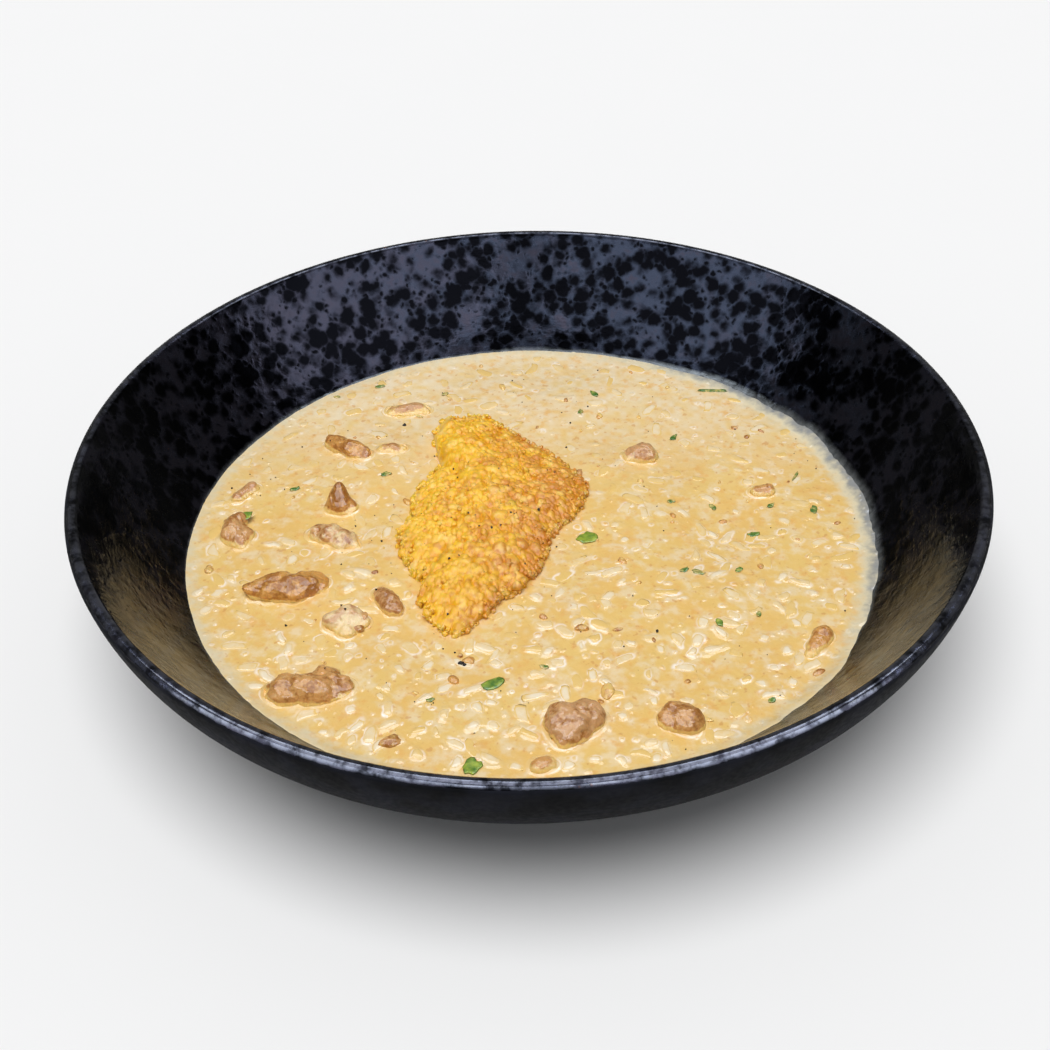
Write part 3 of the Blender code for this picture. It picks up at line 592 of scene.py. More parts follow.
def finish(material, at, shade, size, smoothest, dullest, depth=0.0, strength=0.0, detail=3.0, roughness=0.5,
           relief=None):
    """Leads a colour to the shader, a roughness that follows a grit of a size in mm, and a relief.

    The relief has a depth in mm and is the grit's, if no other is given. Without a strength there is none.
    """
    tree = material.node_tree
    grit = add_node(tree, "TexNoise", {
        "Vector": at, "Scale": pitch(size), "Detail": detail, "Roughness": roughness})
    varied = {"Base Color": shade}
    varied["Roughness"] = add_node(tree, "MapRange", {
        0: grit, 1: 0.3, 2: 0.7, 3: smoothest, 4: dullest}, **SMOOTH)
    if strength:
        varied["Normal"] = add_node(tree, "Bump", {
            "Height": relief or grit, "Distance": depth * MM, "Strength": strength})
    return link(material, varied)


def glazed_stoneware(colours):
    """Iron-rich stoneware under a thick blue-black glaze that crawled in the kiln.

    Gives a nearly black wall crowded with bare pits 2 to 5 mm wide, in paler rings, with blue-grey where the
    glaze is thick, laid on strongest at the back right as a painted sheen. Its satin skin hardly shines
    head-on, but mirrors the food at a low angle. The pits do so too, and reflect nothing head-on: a metallic
    share, black in the pits, gives that. On the lip, where the glaze ran thin, it is glassy, broken by dull
    specks and a few chips of iron brown, with a painted highlight of paler blue-grey dashes along the crest.
    Just above the food a grey film of sauce covers the glaze.
    """
    material, tree, at, bloom, lip, film = new_material("glazed_stoneware", {
        "IOR": 1.52, "Specular IOR Level": 0.04, "Coat IOR": 1.6, "Coat Roughness": 0.12},
        "bloom", "lip", "film")
    stray = add_node(tree, "TexNoise", {"Vector": at, "Scale": pitch(3.0), "Detail": 3.0}, out="Color")
    strayed = add_node(tree, "VectorMath", {0: stray, 1: (2.8 * MM,) * 3, 2: at}, **SUM)
    edge = marks(tree, at, 15, 0.34, 0.66, 0.24, 0.74, roughness=0.65)
    cells = [add_node(tree, "TexVoronoi", {"Vector": strayed, "Scale": pitch(size)}) for size in (4.6, 2.4)]
    large, small = (add_node(tree, "Math", {0: cell, 1: edge}, operation="SUBTRACT") for cell in cells)
    small = add_node(tree, "Math", {0: small, 1: 0.20}, operation="ADD")
    gap = add_node(tree, "Math", {0: large, 1: small}, operation="MINIMUM")
    pits = add_node(tree, "MapRange", {0: gap, 1: 0.30, 2: -0.20}, **SMOOTH)
    ring = add_node(tree, "MapRange", {0: gap, 1: 0.50, 2: 0.20}, **SMOOTH)
    mottle = marks(tree, at, 6, 0.38, 0.64, detail=5.0, roughness=0.7)
    # Paler rings and mottle, scaled by the number that paints the glaze's sheen strongest at the back right
    thick = add_node(tree, "Math", {0: ring, 1: 0.7, 2: mottle}, **SUM)
    thick = add_node(tree, "Math", {0: thick, 1: bloom}, **TIMES)
    chips = marks(tree, at, 5.5, 0.72, 0.77, detail=2.0)
    specks = marks(tree, at, 4.0, 0.64, 0.40, 0.1, detail=4.0, roughness=0.65)
    chips, glassy = (add_node(tree, "Math", {0: mark, 1: lip}, **TIMES) for mark in (chips, specks))
    # Painted highlight: paler dashes along the crest, where the lip is glassy
    crest = add_node(tree, "Math", {0: glassy, 1: 0.45}, **TIMES)
    ragged = add_node(tree, "TexNoise", {"Vector": at, "Scale": pitch(2.6), "Detail": 3.0})
    ragged = add_node(tree, "Math", {0: ragged, 1: 1.6, 2: 0.2}, **SUM)
    film = add_node(tree, "Math", {0: ragged, 1: film}, **TIMES)
    film = add_node(tree, "MapRange", {0: film, 1: 0.1, 2: 1.2, 4: 0.8})
    shade = coats(tree, colours.glaze, (thick, colours.glaze_bloom_and_sheen), (pits, colours.glaze_pit),
                  (chips, colours.glaze_rust), (film, colours.grey_film), (crest, colours.glaze_crest_highlight))
    dull = add_node(tree, "MapRange", {0: mottle, 3: 0.18, 4: 0.28})
    metal = add_node(tree, "MapRange", {0: pits, 3: 0.75, 4: 1.0})
    clear = add_node(tree, "Math", {0: 1.0, 1: film}, operation="SUBTRACT")
    metal = add_node(tree, "Math", {0: metal, 1: clear}, **TIMES)
    # Throwing lines run round the wall, so this noise is four times finer up it
    lines = add_node(tree, "VectorMath", {0: at, 1: (1, 1, 4)}, **TIMES)
    lines = add_node(tree, "TexNoise", {"Vector": lines, "Scale": pitch(3.4), "Detail": 3.0})
    ripple = add_node(tree, "TexNoise", {"Vector": at, "Scale": pitch(7), "Detail": 2.0})
    height = add_node(tree, "Math", {0: lines, 1: 0.25, 2: ripple}, **SUM)
    height = add_node(tree, "Math", {0: pits, 1: -0.22, 2: height}, **SUM)
    bump = add_node(tree, "Bump", {"Height": height, "Distance": 0.36 * MM, "Strength": 0.8})
    return link(material, {"Base Color": shade, "Metallic": metal, "Roughness": dull, "Normal": bump,
                           "Coat Weight": glassy})


def dark_stoneware(colours):
    """The same clay body outside and below, with its glaze rubbed thin: a dull, smooth, nearly black skin."""
    material, tree, at = new_material("dark_stoneware", {"IOR": 1.5, "Specular IOR Level": 0.04})
    shade = coats(tree, colours.glaze_pit, (marks(tree, at, 9, 0.35, 0.7, detail=4.0), colours.glaze_rubbed))
    return finish(material, at, shade, 1.4, 0.58, 0.72, 0.2, 0.3)


def cream_sauce(colours):
    """Stock, butter and cheese beaten into rice starch: an even emulsion with a wet skin.

    Gives a smooth yellow cream with whitish clouds over sunk rice and a pale mottle, painted highlight lines
    where it climbs round grains and droplets, butter stains and specks, and a film where it runs thin at the
    wall, first paler, then grey.
    """
    material, tree, at, pale, line, film = new_material("cream_sauce", WET, "pale", "line", "film")
    pale_mottle = marks(tree, at, 4.4, 0.44, 0.7, most=0.5)
    shade = coats(
        tree, colours.cream,
        (marks(tree, at, 14, 0.38, 0.62, detail=4.0), colours.cream_deep),
        (add_node(tree, "Math", {0: pale, 1: pale_mottle}, operation="MAXIMUM"), colours.cream_pale),
        (marks(tree, at, 4.0, 0.53, 0.72, most=0.75, roughness=0.6), colours.butter),
        (marks(tree, at, 1.8, 0.64, 0.74, most=0.55, detail=1.5), colours.butter_speck),
        # Painted highlight lines round the grains, droplets and meat
        (line, colours.painted_highlight_line),
        (marks(tree, at, 3.0, 0.4, 1.15, most=0.95, share=0.8, stored=film), colours.cream_film),
        (marks(tree, at, 3.0, 0.95, 1.5, most=0.95, share=0.8, stored=film), colours.sauce_film))
    return finish(material, at, shade, 2.2, 0.2, 0.34, 0.24, 0.5, detail=4.0, roughness=0.55)


def cooked_rice(colours):
    """Short-grained rice swollen in stock, under a thin film of sauce.

    Gives soft whitish grains that turn the sauce's colour towards their sides.
    """
    material, tree, at, sauced = new_material("cooked_rice", WET, "sauced")
    sauced = marks(tree, at, 1.7, 0.25, 1.25, share=0.7, stored=sauced)
    return finish(material, at, coats(tree, colours.rice, (sauced, colours.cream)), 1.7, 0.2, 0.34, 0.25, 0.5)


def seared_meat(colours):
    """Meat cut small and browned in a pan, then stirred into wet rice.

    Gives tan flesh, pinkish where it is pale, with painted light glints, brown patches, painted shade in the
    dark creases and on the orange-brown low edges, and a wet skin. Cream has crept onto it, whiter on top of
    the pieces that it covers most.
    """
    material, tree, at, pink, brown, low, hollow, cream, whiter = new_material("seared_meat", {
        "IOR": 1.42, "Specular IOR Level": 0.15, "Subsurface Weight": 0.15, "Subsurface Scale": 0.8 * MM,
        "Coat Weight": 0.6, "Coat Roughness": 0.06, "Coat IOR": 1.45, "Subsurface Radius": (1.0, 0.4, 0.2)},
        "pink", "brown", "low", "hollow", "cream", "whiter")
    patches = add_node(tree, "TexNoise", {"Vector": at, "Scale": pitch(4.0), "Detail": 3.0, "Roughness": 0.6})
    fibres = add_node(tree, "TexNoise", {"Vector": at, "Scale": pitch(1.0), "Detail": 3.0})
    brown = add_node(tree, "Math", {0: brown, 1: 0.3, 2: patches}, **SUM)
    brown = add_node(tree, "Math", {0: fibres, 1: 0.25, 2: brown}, **SUM)
    brown = add_node(tree, "MapRange", {0: brown, 1: 0.70, 2: 0.92, 4: 0.9}, **SMOOTH)
    # Painted shade: darker towards each piece's foot and in its creases
    low, hollow = (add_node(tree, "Math", {0: mark, 1: share}, **TIMES) for mark, share in (
        (low, 0.5), (hollow, 0.25)))
    covering = coats(tree, colours.cream, (whiter, colours.cream_pale))
    # Painted glints, and painted shade on the low edges and in the creases, go over the flesh
    shade = coats(
        tree, colours.meat, (pink, colours.meat_pink),
        (marks(tree, at, 1.9, 0.56, 0.74, most=0.5), colours.meat_painted_glint), (brown, colours.meat_brown),
        (low, colours.meat_low_shade), (hollow, colours.meat_crease_shade),
        (marks(tree, at, 2.2, 0.72, 1.0, stored=cream), covering))
    height = add_node(tree, "Math", {0: patches, 1: 0.6, 2: fibres}, **SUM)
    return finish(material, at, shade, 1.0, 0.26, 0.46, 0.45, 0.7, relief=height)


def golden_crumb(colours):
    """Crumbs fried in butter until they hold together: porous, toasted unevenly, glistening with fat.

    Gives rounded granules, clear yellow to brown, with painted shade, deeper orange, in the crevices and a
    painted highlight, lighter, on the granules' tops, and creamy along the edge that the sauce has soaked.
    """
    material, tree, at, tint, toast, crevice, soaked = new_material("golden_crumb", {
        "IOR": 1.45, "Specular IOR Level": 0.12, "Subsurface Weight": 0.5, "Subsurface Scale": 1.0 * MM,
        "Subsurface Radius": (1.0, 0.6, 0.15), "Coat Weight": 0.4, "Coat Roughness": 0.05, "Coat IOR": 1.4},
        "tint", "toast", "crevice", "soaked")
    uneven = add_node(tree, "TexNoise", {"Vector": at, "Scale": pitch(9), "Detail": 4.0, "Roughness": 0.6})
    toast = add_node(tree, "Math", {0: uneven, 1: 1.1, 2: toast}, **SUM)
    toast = add_node(tree, "Math", {0: tint, 1: 0.32, 2: toast}, **SUM)
    toast = add_node(tree, "MapRange", {0: toast, 1: 0.60, 2: 1.16}, **SMOOTH)
    pale = marks(tree, at, 3.0, 0.5, 0.68, most=0.65)
    # Painted highlight on the granules' tops and painted shade in the crevices, from how deep each point lies
    tops = add_node(tree, "MapRange", {0: crevice, 1: 0.3, 2: 0.0, 4: 0.14}, **SMOOTH)
    crevice = add_node(tree, "Math", {0: crevice, 1: 0.6}, **TIMES)
    soaked = add_node(tree, "Math", {0: pale, 1: 0.6, 2: soaked}, **SUM)
    soaked = add_node(tree, "MapRange", {0: soaked, 1: 0.6, 2: 1.3, 4: 0.75}, **SMOOTH)
    shade = coats(tree, colours.crumb, (toast, colours.crumb_dark), (pale, colours.crumb_pale),
                  (tops, colours.crumb_top_highlight), (crevice, colours.crumb_crevice_shade), (soaked, colours.cream))
    return finish(material, at, shade, 0.5, 0.3, 0.5, 0.14, 0.5)


def chopped_herb(colours):
    """Soft green leaf and stem, chopped fine and wetted by the sauce: dark flakes with lighter sides."""
    material, tree, at, bright, sunk = new_material("chopped_herb", {
        "IOR": 1.40, "Coat Weight": 0.5, "Coat Roughness": 0.1, "Subsurface Weight": 0.1,
        "Subsurface Scale": 0.5 * MM}, "bright", "sunk")
    shade = coats(tree, colours.herb,
                  (marks(tree, at, 1.9, 1.05, 1.7, share=1.2, stored=bright), colours.herb_bright),
                  (marks(tree, at, 1.9, 0.75, 1.15, share=0.9, stored=sunk), colours.cream))
    return finish(material, at, shade, 1.9, 0.3, 0.5, 0.1, 0.5)


def ground_pepper(colours):
    """Black peppercorn cracked in a mill: dry black husk with paler broken faces."""
    material, tree, at = new_material("ground_pepper", {"IOR": 1.45, "Specular IOR Level": 0.2})
    shade = coats(tree, colours.pepper, (marks(tree, at, 0.6, 0.5, 0.75, detail=2.0), colours.pepper_face))
    return finish(material, at, shade, 0.6, 0.45, 0.7, detail=2.0)


def pale_table(colours):
    """A smooth white-painted board, faintly uneven."""
    material, tree, at = new_material("pale_table", {"IOR": 1.45, "Specular IOR Level": 0.0})
    clouds = add_node(tree, "TexNoise", {"Vector": at, "Scale": pitch(60), "Detail": 4.0})
    faint = add_node(tree, "Math", {0: clouds, 1: 0.08}, **TIMES)
    shade = coats(tree, colours.table, (faint, colours.table_shade))
    return finish(material, at, shade, 60, 0.55, 0.7, detail=4.0)


# ---------------------------------------------------------------- operators


def settings():
    """The scene's sizes and colours."""
    return bpy.context.scene.risotto_sizes, bpy.context.scene.risotto_colours


class RISOTTO_OT_bowl(bpy.types.Operator):
    """Turns the glazed bowl from its profile"""

    bl_idname = "risotto.bowl"
    bl_label = "Bowl"
    segments = 288
    bloom_at, bloom_width = math.radians(66), math.radians(42)

    def profile(self, sizes):
        """The turned outline: underside, foot ring, outer curve, lip circle, inner curve and floor.

        With it go the numbers of the rows where the lip and the inner curve start.
        """
        outer = lip_angle(sizes, OUTER_BELLY, 1)
        inner = lip_angle(sizes, INNER_BELLY, -1)
        inside = sizes.foot_radius - sizes.foot_width
        foot = np.array([
            (inside * 0.33, sizes.underside), (inside * 0.66, sizes.underside),
            (inside - 2.2 * MM, sizes.underside), (inside - 1.0 * MM, sizes.underside - 0.4 * MM),
            (inside - 0.3 * MM, 2.4 * MM), (inside, 1.2 * MM),
            (inside + 0.35 * MM, 0.4 * MM), (inside + 1.1 * MM, 0.0), (sizes.foot_radius - 1.6 * MM, 0.0),
            (sizes.foot_radius - 0.8 * MM, 0.3 * MM), (sizes.foot_radius - 0.45 * MM, 1.1 * MM),
            (sizes.foot_radius - 0.4 * MM, 3.2 * MM), (sizes.foot_radius - 0.25 * MM, 4.4 * MM)])
        wall = bend([(sizes.foot_radius, sizes.foot_height), np.array(OUTER_BELLY) * MM,
                     lip_point(sizes, outer)], np.linspace(0, 1, 44)[:-1])
        lip = lip_point(sizes, np.linspace(outer, inner, 18)[:-1])
        hollow = inner_wall(sizes, np.linspace(0, 1, 64))
        floor = np.array([(sizes.floor_radius * share, sizes.floor_height) for share in (0.75, 0.5, 0.25)])
        lip_row = len(foot) + len(wall)
        return np.concatenate([foot, wall, lip, hollow, floor]), lip_row, lip_row + len(lip)

    def execute(self, context):
        sizes, colours = settings()
        rows, lip_row, inner_row = self.profile(sizes)
        turn = np.arange(self.segments) / self.segments * TAU
        radius = rows[:, :1] + 0 * turn
        height = rows[:, 1:] + 0 * turn
        points = np.stack([radius * np.cos(turn), radius * np.sin(turn), height], -1)
        # The glaze lies unevenly: the inside sinks by up to 0.25 mm, the outside stays in the CAD's box
        inside = np.arange(len(rows))[:, None] > inner_row + 3
        sink = (0.5 + 0.5 * lattice_noise(points, 14 * MM, 5)) * 0.25 * MM * inside
        points[..., :2] *= (1 + sink / np.maximum(radius, 1 * MM))[..., None]
        poles = [(0, 0, sizes.underside)], [(0, 0, sizes.floor_height)]
        vertices = np.concatenate([poles[0], points.reshape(-1, 3), poles[1]])
        last = len(vertices) - 1
        mesh = make_mesh("stoneware_bowl", vertices, tube_faces(len(rows), self.segments),
                         np.concatenate([fan_faces(0, 1, self.segments, True),
                                         fan_faces(last, last - self.segments, self.segments)]))
        below_crest = (BOWL_HIGH.z - height) / MM
        near = smooth_step(0.0, -0.8, np.sin(turn))
        # The lip number sets the glassy coat and the painted highlight along the crest, both wider in front
        lip = np.where(radius > BOWL_HIGH.x - sizes.lip,
                       smooth_step(0.05 + 1.1 * near, 0.3 * near - 0.01, below_crest),
                       smooth_step(0.4 + 0.8 * near, 0.03 + 0.17 * near, below_crest))
        # Painted sheen: the glaze's blue-grey is laid on strongest at the back right, where the wall's shine
        # lies
        round_by = (turn - self.bloom_at + math.pi) % TAU - math.pi
        bloom = 0.2 + 0.8 * np.exp(-(round_by / self.bloom_width) ** 2) + 0 * height
        # The film of sauce reaches furthest up the wall at the right
        wide = 0.6 + 1.4 * smooth_step(0.6, 0.95, np.cos(turn - 0.3)) + 0.2 * np.sin(5 * turn + 1)
        above = (height - sizes.level - wall_climb(turn)) / MM
        film = np.clip(np.where(inside, 1 - above / wide[None], 0), 0, 1)
        store(mesh, lip=np.append(0, lip), bloom=np.append(0, bloom), film=np.append(0, film))
        add_piece(mesh, glazed_stoneware(colours), "glazed_stoneware", "bowl")
        mesh.materials.append(dark_stoneware(colours))
        band = np.repeat(np.arange(len(rows) - 1), self.segments)
        # The rubbed glaze ends on the lip's outer side, four rows of points lower in front
        rubbed = lip_row + 4 + np.round(4 * (1 - np.tile(near, len(rows) - 1)))
        make = np.concatenate([band < rubbed, np.ones(self.segments), np.zeros(self.segments)])
        mesh.polygons.foreach_set("material_index", make.astype(np.int32))
        return {"FINISHED"}


def square_disc(cells):
    """A square grid drawn out to a disc of radius 1, ring by ring: its points, row by row."""
    a, b = np.meshgrid(np.linspace(-1, 1, cells + 1), np.linspace(-1, 1, cells + 1))
    wide = np.abs(a) > np.abs(b)
    reach = np.where(wide, a, b)
    safe = np.where(np.abs(reach) < 1e-9, 1, reach)
    turn = np.where(wide, math.pi / 4 * b / safe, math.pi / 2 - math.pi / 4 * a / safe)
    return np.stack([reach * np.cos(turn), reach * np.sin(turn)], -1).reshape(-1, 2)


def closed_disc(name, top, quads, edge, rings, bottom):
    """A closed body: a top grid, rings that lead down from its edge, and a last point underneath."""
    count = len(edge)
    vertices = [top]
    faces = [quads]
    before = edge
    first = len(top)
    for ring in rings:
        vertices.append(ring)
        now = first + np.arange(count)
        faces.append(np.stack([before, now, np.roll(now, -1), np.roll(before, -1)], -1))
        before, first = now, first + count
    vertices.append([bottom])
    tris = np.stack([np.full(count, first), np.roll(before, -1), before], -1)
    return make_mesh(name, np.concatenate(vertices), np.concatenate(faces), tris)


class GrainField:
    """Where the rice lies, drawn alike for the sauce and the grains: more and closer in front."""

    tries = 24000

    def __init__(self, sizes):
        draw = np.random.default_rng(7)
        edge = wall_radius(sizes, sizes.level)
        places = np.zeros((0, 2))
        for _ in range(self.tries):
            if len(places) == sizes.grain_count:
                break
            out, turn = edge * math.sqrt(draw.random()), draw.random() * TAU
            x, y = out * math.cos(turn), out * math.sin(turn)
            front = float(smooth_step(55 * MM, -45 * MM, y))
            if draw.random() > 0.5 + 0.5 * front:
                continue
            room = (3.4 + 2.0 * (1 - front)) * MM
            near = len(places) and np.hypot(places[:, 0] - x, places[:, 1] - y).min() < room
            if near or out > edge - 3 * MM:
                continue
            if crisp_distance(np.array(x), np.array(y)) < 2 * MM or meat_distance(x, y) < 2.2 * MM:
                continue
            places = np.concatenate([places, [(x, y)]])
        self.x, self.y = places.T
        count = len(places)
        front = smooth_step(60 * MM, -50 * MM, self.y)
        whole = draw.random(count) < 0.45
        self.turn = draw.uniform(0, math.pi, count)
        # Whole grains, and the shorter part that shows of those that lie aslant
        self.length = sizes.grain_length * np.where(
            whole, draw.uniform(0.75, 1.1, count), draw.uniform(0.4, 0.7, count))
        self.width = sizes.grain_width * np.where(
            whole, draw.uniform(0.65, 1.0, count), draw.uniform(0.55, 0.9, count))
        self.rise = (0.10 + 0.32 * draw.random(count) ** 1.6 * (0.35 + 0.65 * front)) * MM
        self.white = draw.beta(1.5, 1.2, count) * (0.8 + 0.2 * front)
        # How bright each grain's painted highlight line is, brighter in front
        self.lit = np.clip(draw.beta(1.4, 1.3, count) * (0.7 + 0.5 * front), 0, 1)


def strayed(x, y):
    """Points shifted by noise, 0.6 mm at 3 mm and 0.3 mm at 1.2 mm, so that ovals there come out uneven."""
    at = flat(x, y)
    return [line + MM * (0.6 * lattice_noise(at, 3 * MM, seed) + 0.3 * lattice_noise(at, 1.2 * MM, seed + 1))
            for line, seed in ((x, 24), (y, 26))]


class Raster:
    """A sheet of heights, as wide as the dish or as given, that forms are drawn onto and read by blending."""

    reach = 106 * MM

    def __init__(self, cell, wide=None, deep=None, floor=0.0):
        whole = np.arange(-self.reach, self.reach + cell, cell)
        self.cell = cell
        self.wide = whole if wide is None else np.arange(0, wide, cell)
        self.deep = whole if deep is None else np.arange(0, deep, cell)
        self.field = np.full((len(self.deep), len(self.wide)), floor)

    def window(self, x, y, spread):
        """The part of the sheet within a spread of a place, and how far its cells lie from the place."""
        part = [slice(int(max(0, (place - spread - line[0]) // self.cell)),
                      int((place + spread - line[0]) // self.cell + 2))
                for place, line in ((y, self.deep), (x, self.wide))]
        return tuple(part), *np.meshgrid(self.wide[part[1]] - x, self.deep[part[0]] - y)

    def draw(self, x, y, turn, long, wide, form):
        """Raises the sheet to form(q) wherever that is higher; q is the oval distance from the place."""
        part, gx, gy = self.window(x, y, 1.6 * long)
        u = (gx * math.cos(turn) + gy * math.sin(turn)) / long
        v = (gy * math.cos(turn) - gx * math.sin(turn)) / wide
        np.maximum(self.field[part], form((np.abs(u) ** 2.5 + np.abs(v) ** 2.5) ** 0.4), out=self.field[part])

    def cells(self, x, y):
        """The columns and rows of the cells that points lie in, and how far across and up them they lie."""
        u, v = (x - self.wide[0]) / self.cell, (y - self.deep[0]) / self.cell
        i = np.clip(np.floor(u).astype(int), 0, len(self.wide) - 2)
        j = np.clip(np.floor(v).astype(int), 0, len(self.deep) - 2)
        return i, j, u - i, v - j

    def read(self, x, y):
        """The sheet's height at points, blended between its four nearest cells."""
        i, j, s, t = self.cells(x, y)
        field = self.field
        return ((1 - s) * (1 - t) * field[j, i] + s * (1 - t) * field[j, i + 1]
                + (1 - s) * t * field[j + 1, i] + s * t * field[j + 1, i + 1])


class RISOTTO_OT_sauce(bpy.types.Operator):
    """Fills the bowl with sauce whose surface swells over the rice below it"""

    bl_idname = "risotto.sauce"
    bl_label = "Sauce"
    cells = 600
    raster_cell = 0.2 * MM
    sunk_count = 2200
    # The highest swelling over a sunk grain, in millimetres
    sunk_high = 0.14
    droplet_count = 1300

    def sunk_rice(self, x, y):
        """Low swellings over sunk grains: the highest of many h (1 - q q)^1.6, which fade out flat."""
        sheet = Raster(2 * self.raster_cell)
        draw = np.random.default_rng(21)
        count, reach = self.sunk_count, sheet.reach
        for px, py, turn, long, wide, high in zip(
                draw.uniform(-reach, reach, count), draw.uniform(-reach, reach, count),
                draw.uniform(0, math.pi, count), draw.uniform(1.7, 3.4, count) * MM,
                draw.uniform(1.3, 2.2, count) * MM, draw.uniform(0.01, self.sunk_high, count) * MM):
            sheet.draw(px, py, turn, long, wide, lambda q: high * np.maximum(0, 1 - q**2) ** 1.6)
        return sheet.read(*strayed(x, y))

    def drawn_up(self, sizes, x, y):
        """How the grains mark the sauce: how high it climbs, how pale it is and how bright its painted
        highlight lines are.

        It climbs to h / 2 inside a grain's outline and h / 2 e^(-g / 0.45 mm) a gap g outside. It pales by a
        smooth step over the outline. A painted highlight line is e^-(g / 0.24 mm)^2 along the outline.
        Droplets stand
        0.16 mm high, each in a painted highlight line of 0.2 mm, and noise breaks all lines.
        """
        climb, cloud, line = (Raster(self.raster_cell) for _ in range(3))
        field = GrainField(sizes)
        for px, py, turn, long, wide, high, white, lit in zip(
                field.x, field.y, field.turn, field.length / 2, field.width / 2, field.rise, field.white,
                field.lit):
            climb.draw(px, py, turn, long, wide, lambda q: 0.5 * high * smooth_step(1.6, 1.3, q) * np.exp(
                -np.maximum(0, q - 0.95) * wide / (0.45 * MM)))
            cloud.draw(px, py, turn, long, wide, lambda q: 0.9 * white * smooth_step(1.6, 0.4, q))
            # Painted highlight: a near-white line along each grain's outline
            line.draw(px, py, turn, long, wide, lambda q: lit * np.exp(-((q - 1) * wide / (0.24 * MM)) ** 2))
        draw = np.random.default_rng(23)
        count, reach = self.droplet_count, climb.reach
        for px, py, size, lit in zip(
                draw.uniform(-reach, reach, count), reach * (1 - 2 * draw.random(count) ** 0.7),
                draw.uniform(0.3, 0.95, count) * MM, draw.beta(1.5, 1.5, count)):
            climb.draw(px, py, 0, size, size, lambda q: 0.16 * MM * np.maximum(0, 1 - q**2))
            # Painted highlight: a ring round each droplet
            line.draw(px, py, 0, size, size, lambda q: lit * np.exp(-((q - 1) * size / (0.2 * MM)) ** 2))
        broken = smooth_step(-0.35, 0.35, lattice_noise(flat(x, y), 2.6 * MM, 14))
        at = strayed(x, y)
        return climb.read(*at), cloud.read(*at), line.read(*at) * broken

    def execute(self, context):
        sizes, colours = settings()
        material = cream_sauce(colours)
        disc = square_disc(self.cells)
        out = np.hypot(disc[:, 0], disc[:, 1])
        angle = np.arctan2(disc[:, 1], disc[:, 0])
        at_wall = wall_climb(angle)
        reach = wall_radius(sizes, sizes.level) + 0.5 * MM
        reach += (wall_radius(sizes, sizes.level + at_wall) + 0.3 * MM - reach) * smooth_step(0.9, 1.0, out)
        x, y = disc[:, 0] * reach, disc[:, 1] * reach
        front = 0.45 + 0.55 * smooth_step(60 * MM, -40 * MM, y)
        lumps = self.sunk_rice(x, y) * front
        climb, cloud, line = self.drawn_up(sizes, x, y)
        open_sauce = smooth_step(0.5 * MM, 6 * MM, crisp_distance(x, y)) * (1 - out**8)
        ripples = (lattice_noise(flat(x, y), 4 * MM, 3) * 0.05 * MM
                   + lattice_noise(flat(x, y), 1.5 * MM, 4) * 0.03 * MM)
        height = sauce_height(sizes, x, y) + (lumps + ripples) * open_sauce + climb
        # At the wall the sauce climbs unevenly, most at the right, where it was stirred up and runs thin
        height += at_wall * smooth_step(0.955, 1.0, out)
        thinned = 0.46 + 0.54 * smooth_step(0.5, 0.95, np.cos(angle - 0.35))
        patchy = 0.6 + 0.4 * lattice_noise(flat(x, y), 2.0 * MM, 16)
        over_lumps = np.clip(lumps / (self.sunk_high * MM), 0, 1) ** 2 * 0.4
        pale = np.clip(np.maximum(cloud, over_lumps) * patchy, 0, 1)
        # A pale mottle that grows towards the back of the bowl
        pale_mottle = 0.8 * smooth_step(10 * MM, 70 * MM, y) * np.clip(patchy, 0, 1)
        numbers = {"pale": np.maximum(pale, pale_mottle), "line": line,
                   "film": smooth_step(0.925, 1.0, out) * thinned}
        # The quarters share their heights and their normals along the cuts, so no seam shows
        side = self.cells + 1
        grid = np.arange(side * side).reshape(side, side)
        points = np.stack([x, y, height], -1)
        across, along = np.gradient(points.reshape(side, side, 3), axis=(0, 1))
        normals = np.cross(along, across).reshape(-1, 3)
        normals /= np.linalg.norm(normals, axis=1)[:, None]
        low, high = (slice(0, self.cells // 2 + 1), -0.35), (slice(self.cells // 2, None), 0.35)
        for depth, (rows, v) in (("front", low), ("back", high)):
            for hand, (columns, u) in (("left", low), ("right", high)):
                self.quarter(sizes, material, f"cream_sauce_{depth}_{hand}", grid[rows, columns], (u, v),
                             disc, points, normals, numbers)
        return {"FINISHED"}

    def quarter(self, sizes, material, name, grid, middle, disc, points, normals, numbers):
        """A quarter of the body of sauce: its top, walls along the bowl and the cuts, and its underside."""
        quads, edge = grid_faces(*grid.shape)
        kept = grid.ravel()
        ring = disc[kept][edge]
        rings = []
        for drop, inset in ((1.5, 0.3), (8, -0.5), (13.5, -1.5)):
            level = sizes.level - drop * MM
            radius = wall_radius(sizes, level) + inset * MM
            rings.append(np.concatenate([ring * radius, np.full((len(ring), 1), level)], 1))
        bottom = (*(share * sizes.floor_radius for share in middle), sizes.floor_height + 1.2 * MM)
        mesh = closed_disc(name, points[kept], quads, edge, rings, bottom)
        store(mesh, **{mark: values[kept] for mark, values in numbers.items()})
        around = np.concatenate([ring, ring[:, :1] * 0], 1)
        around /= np.maximum(np.linalg.norm(around, axis=1), 1e-6)[:, None]
        below = np.concatenate([np.tile(around, (3, 1)), [(0, 0, -1)]])
        mesh.normals_split_custom_set_from_vertices(np.concatenate([normals[kept], below]))
        add_piece(mesh, material, "risotto", "risotto")


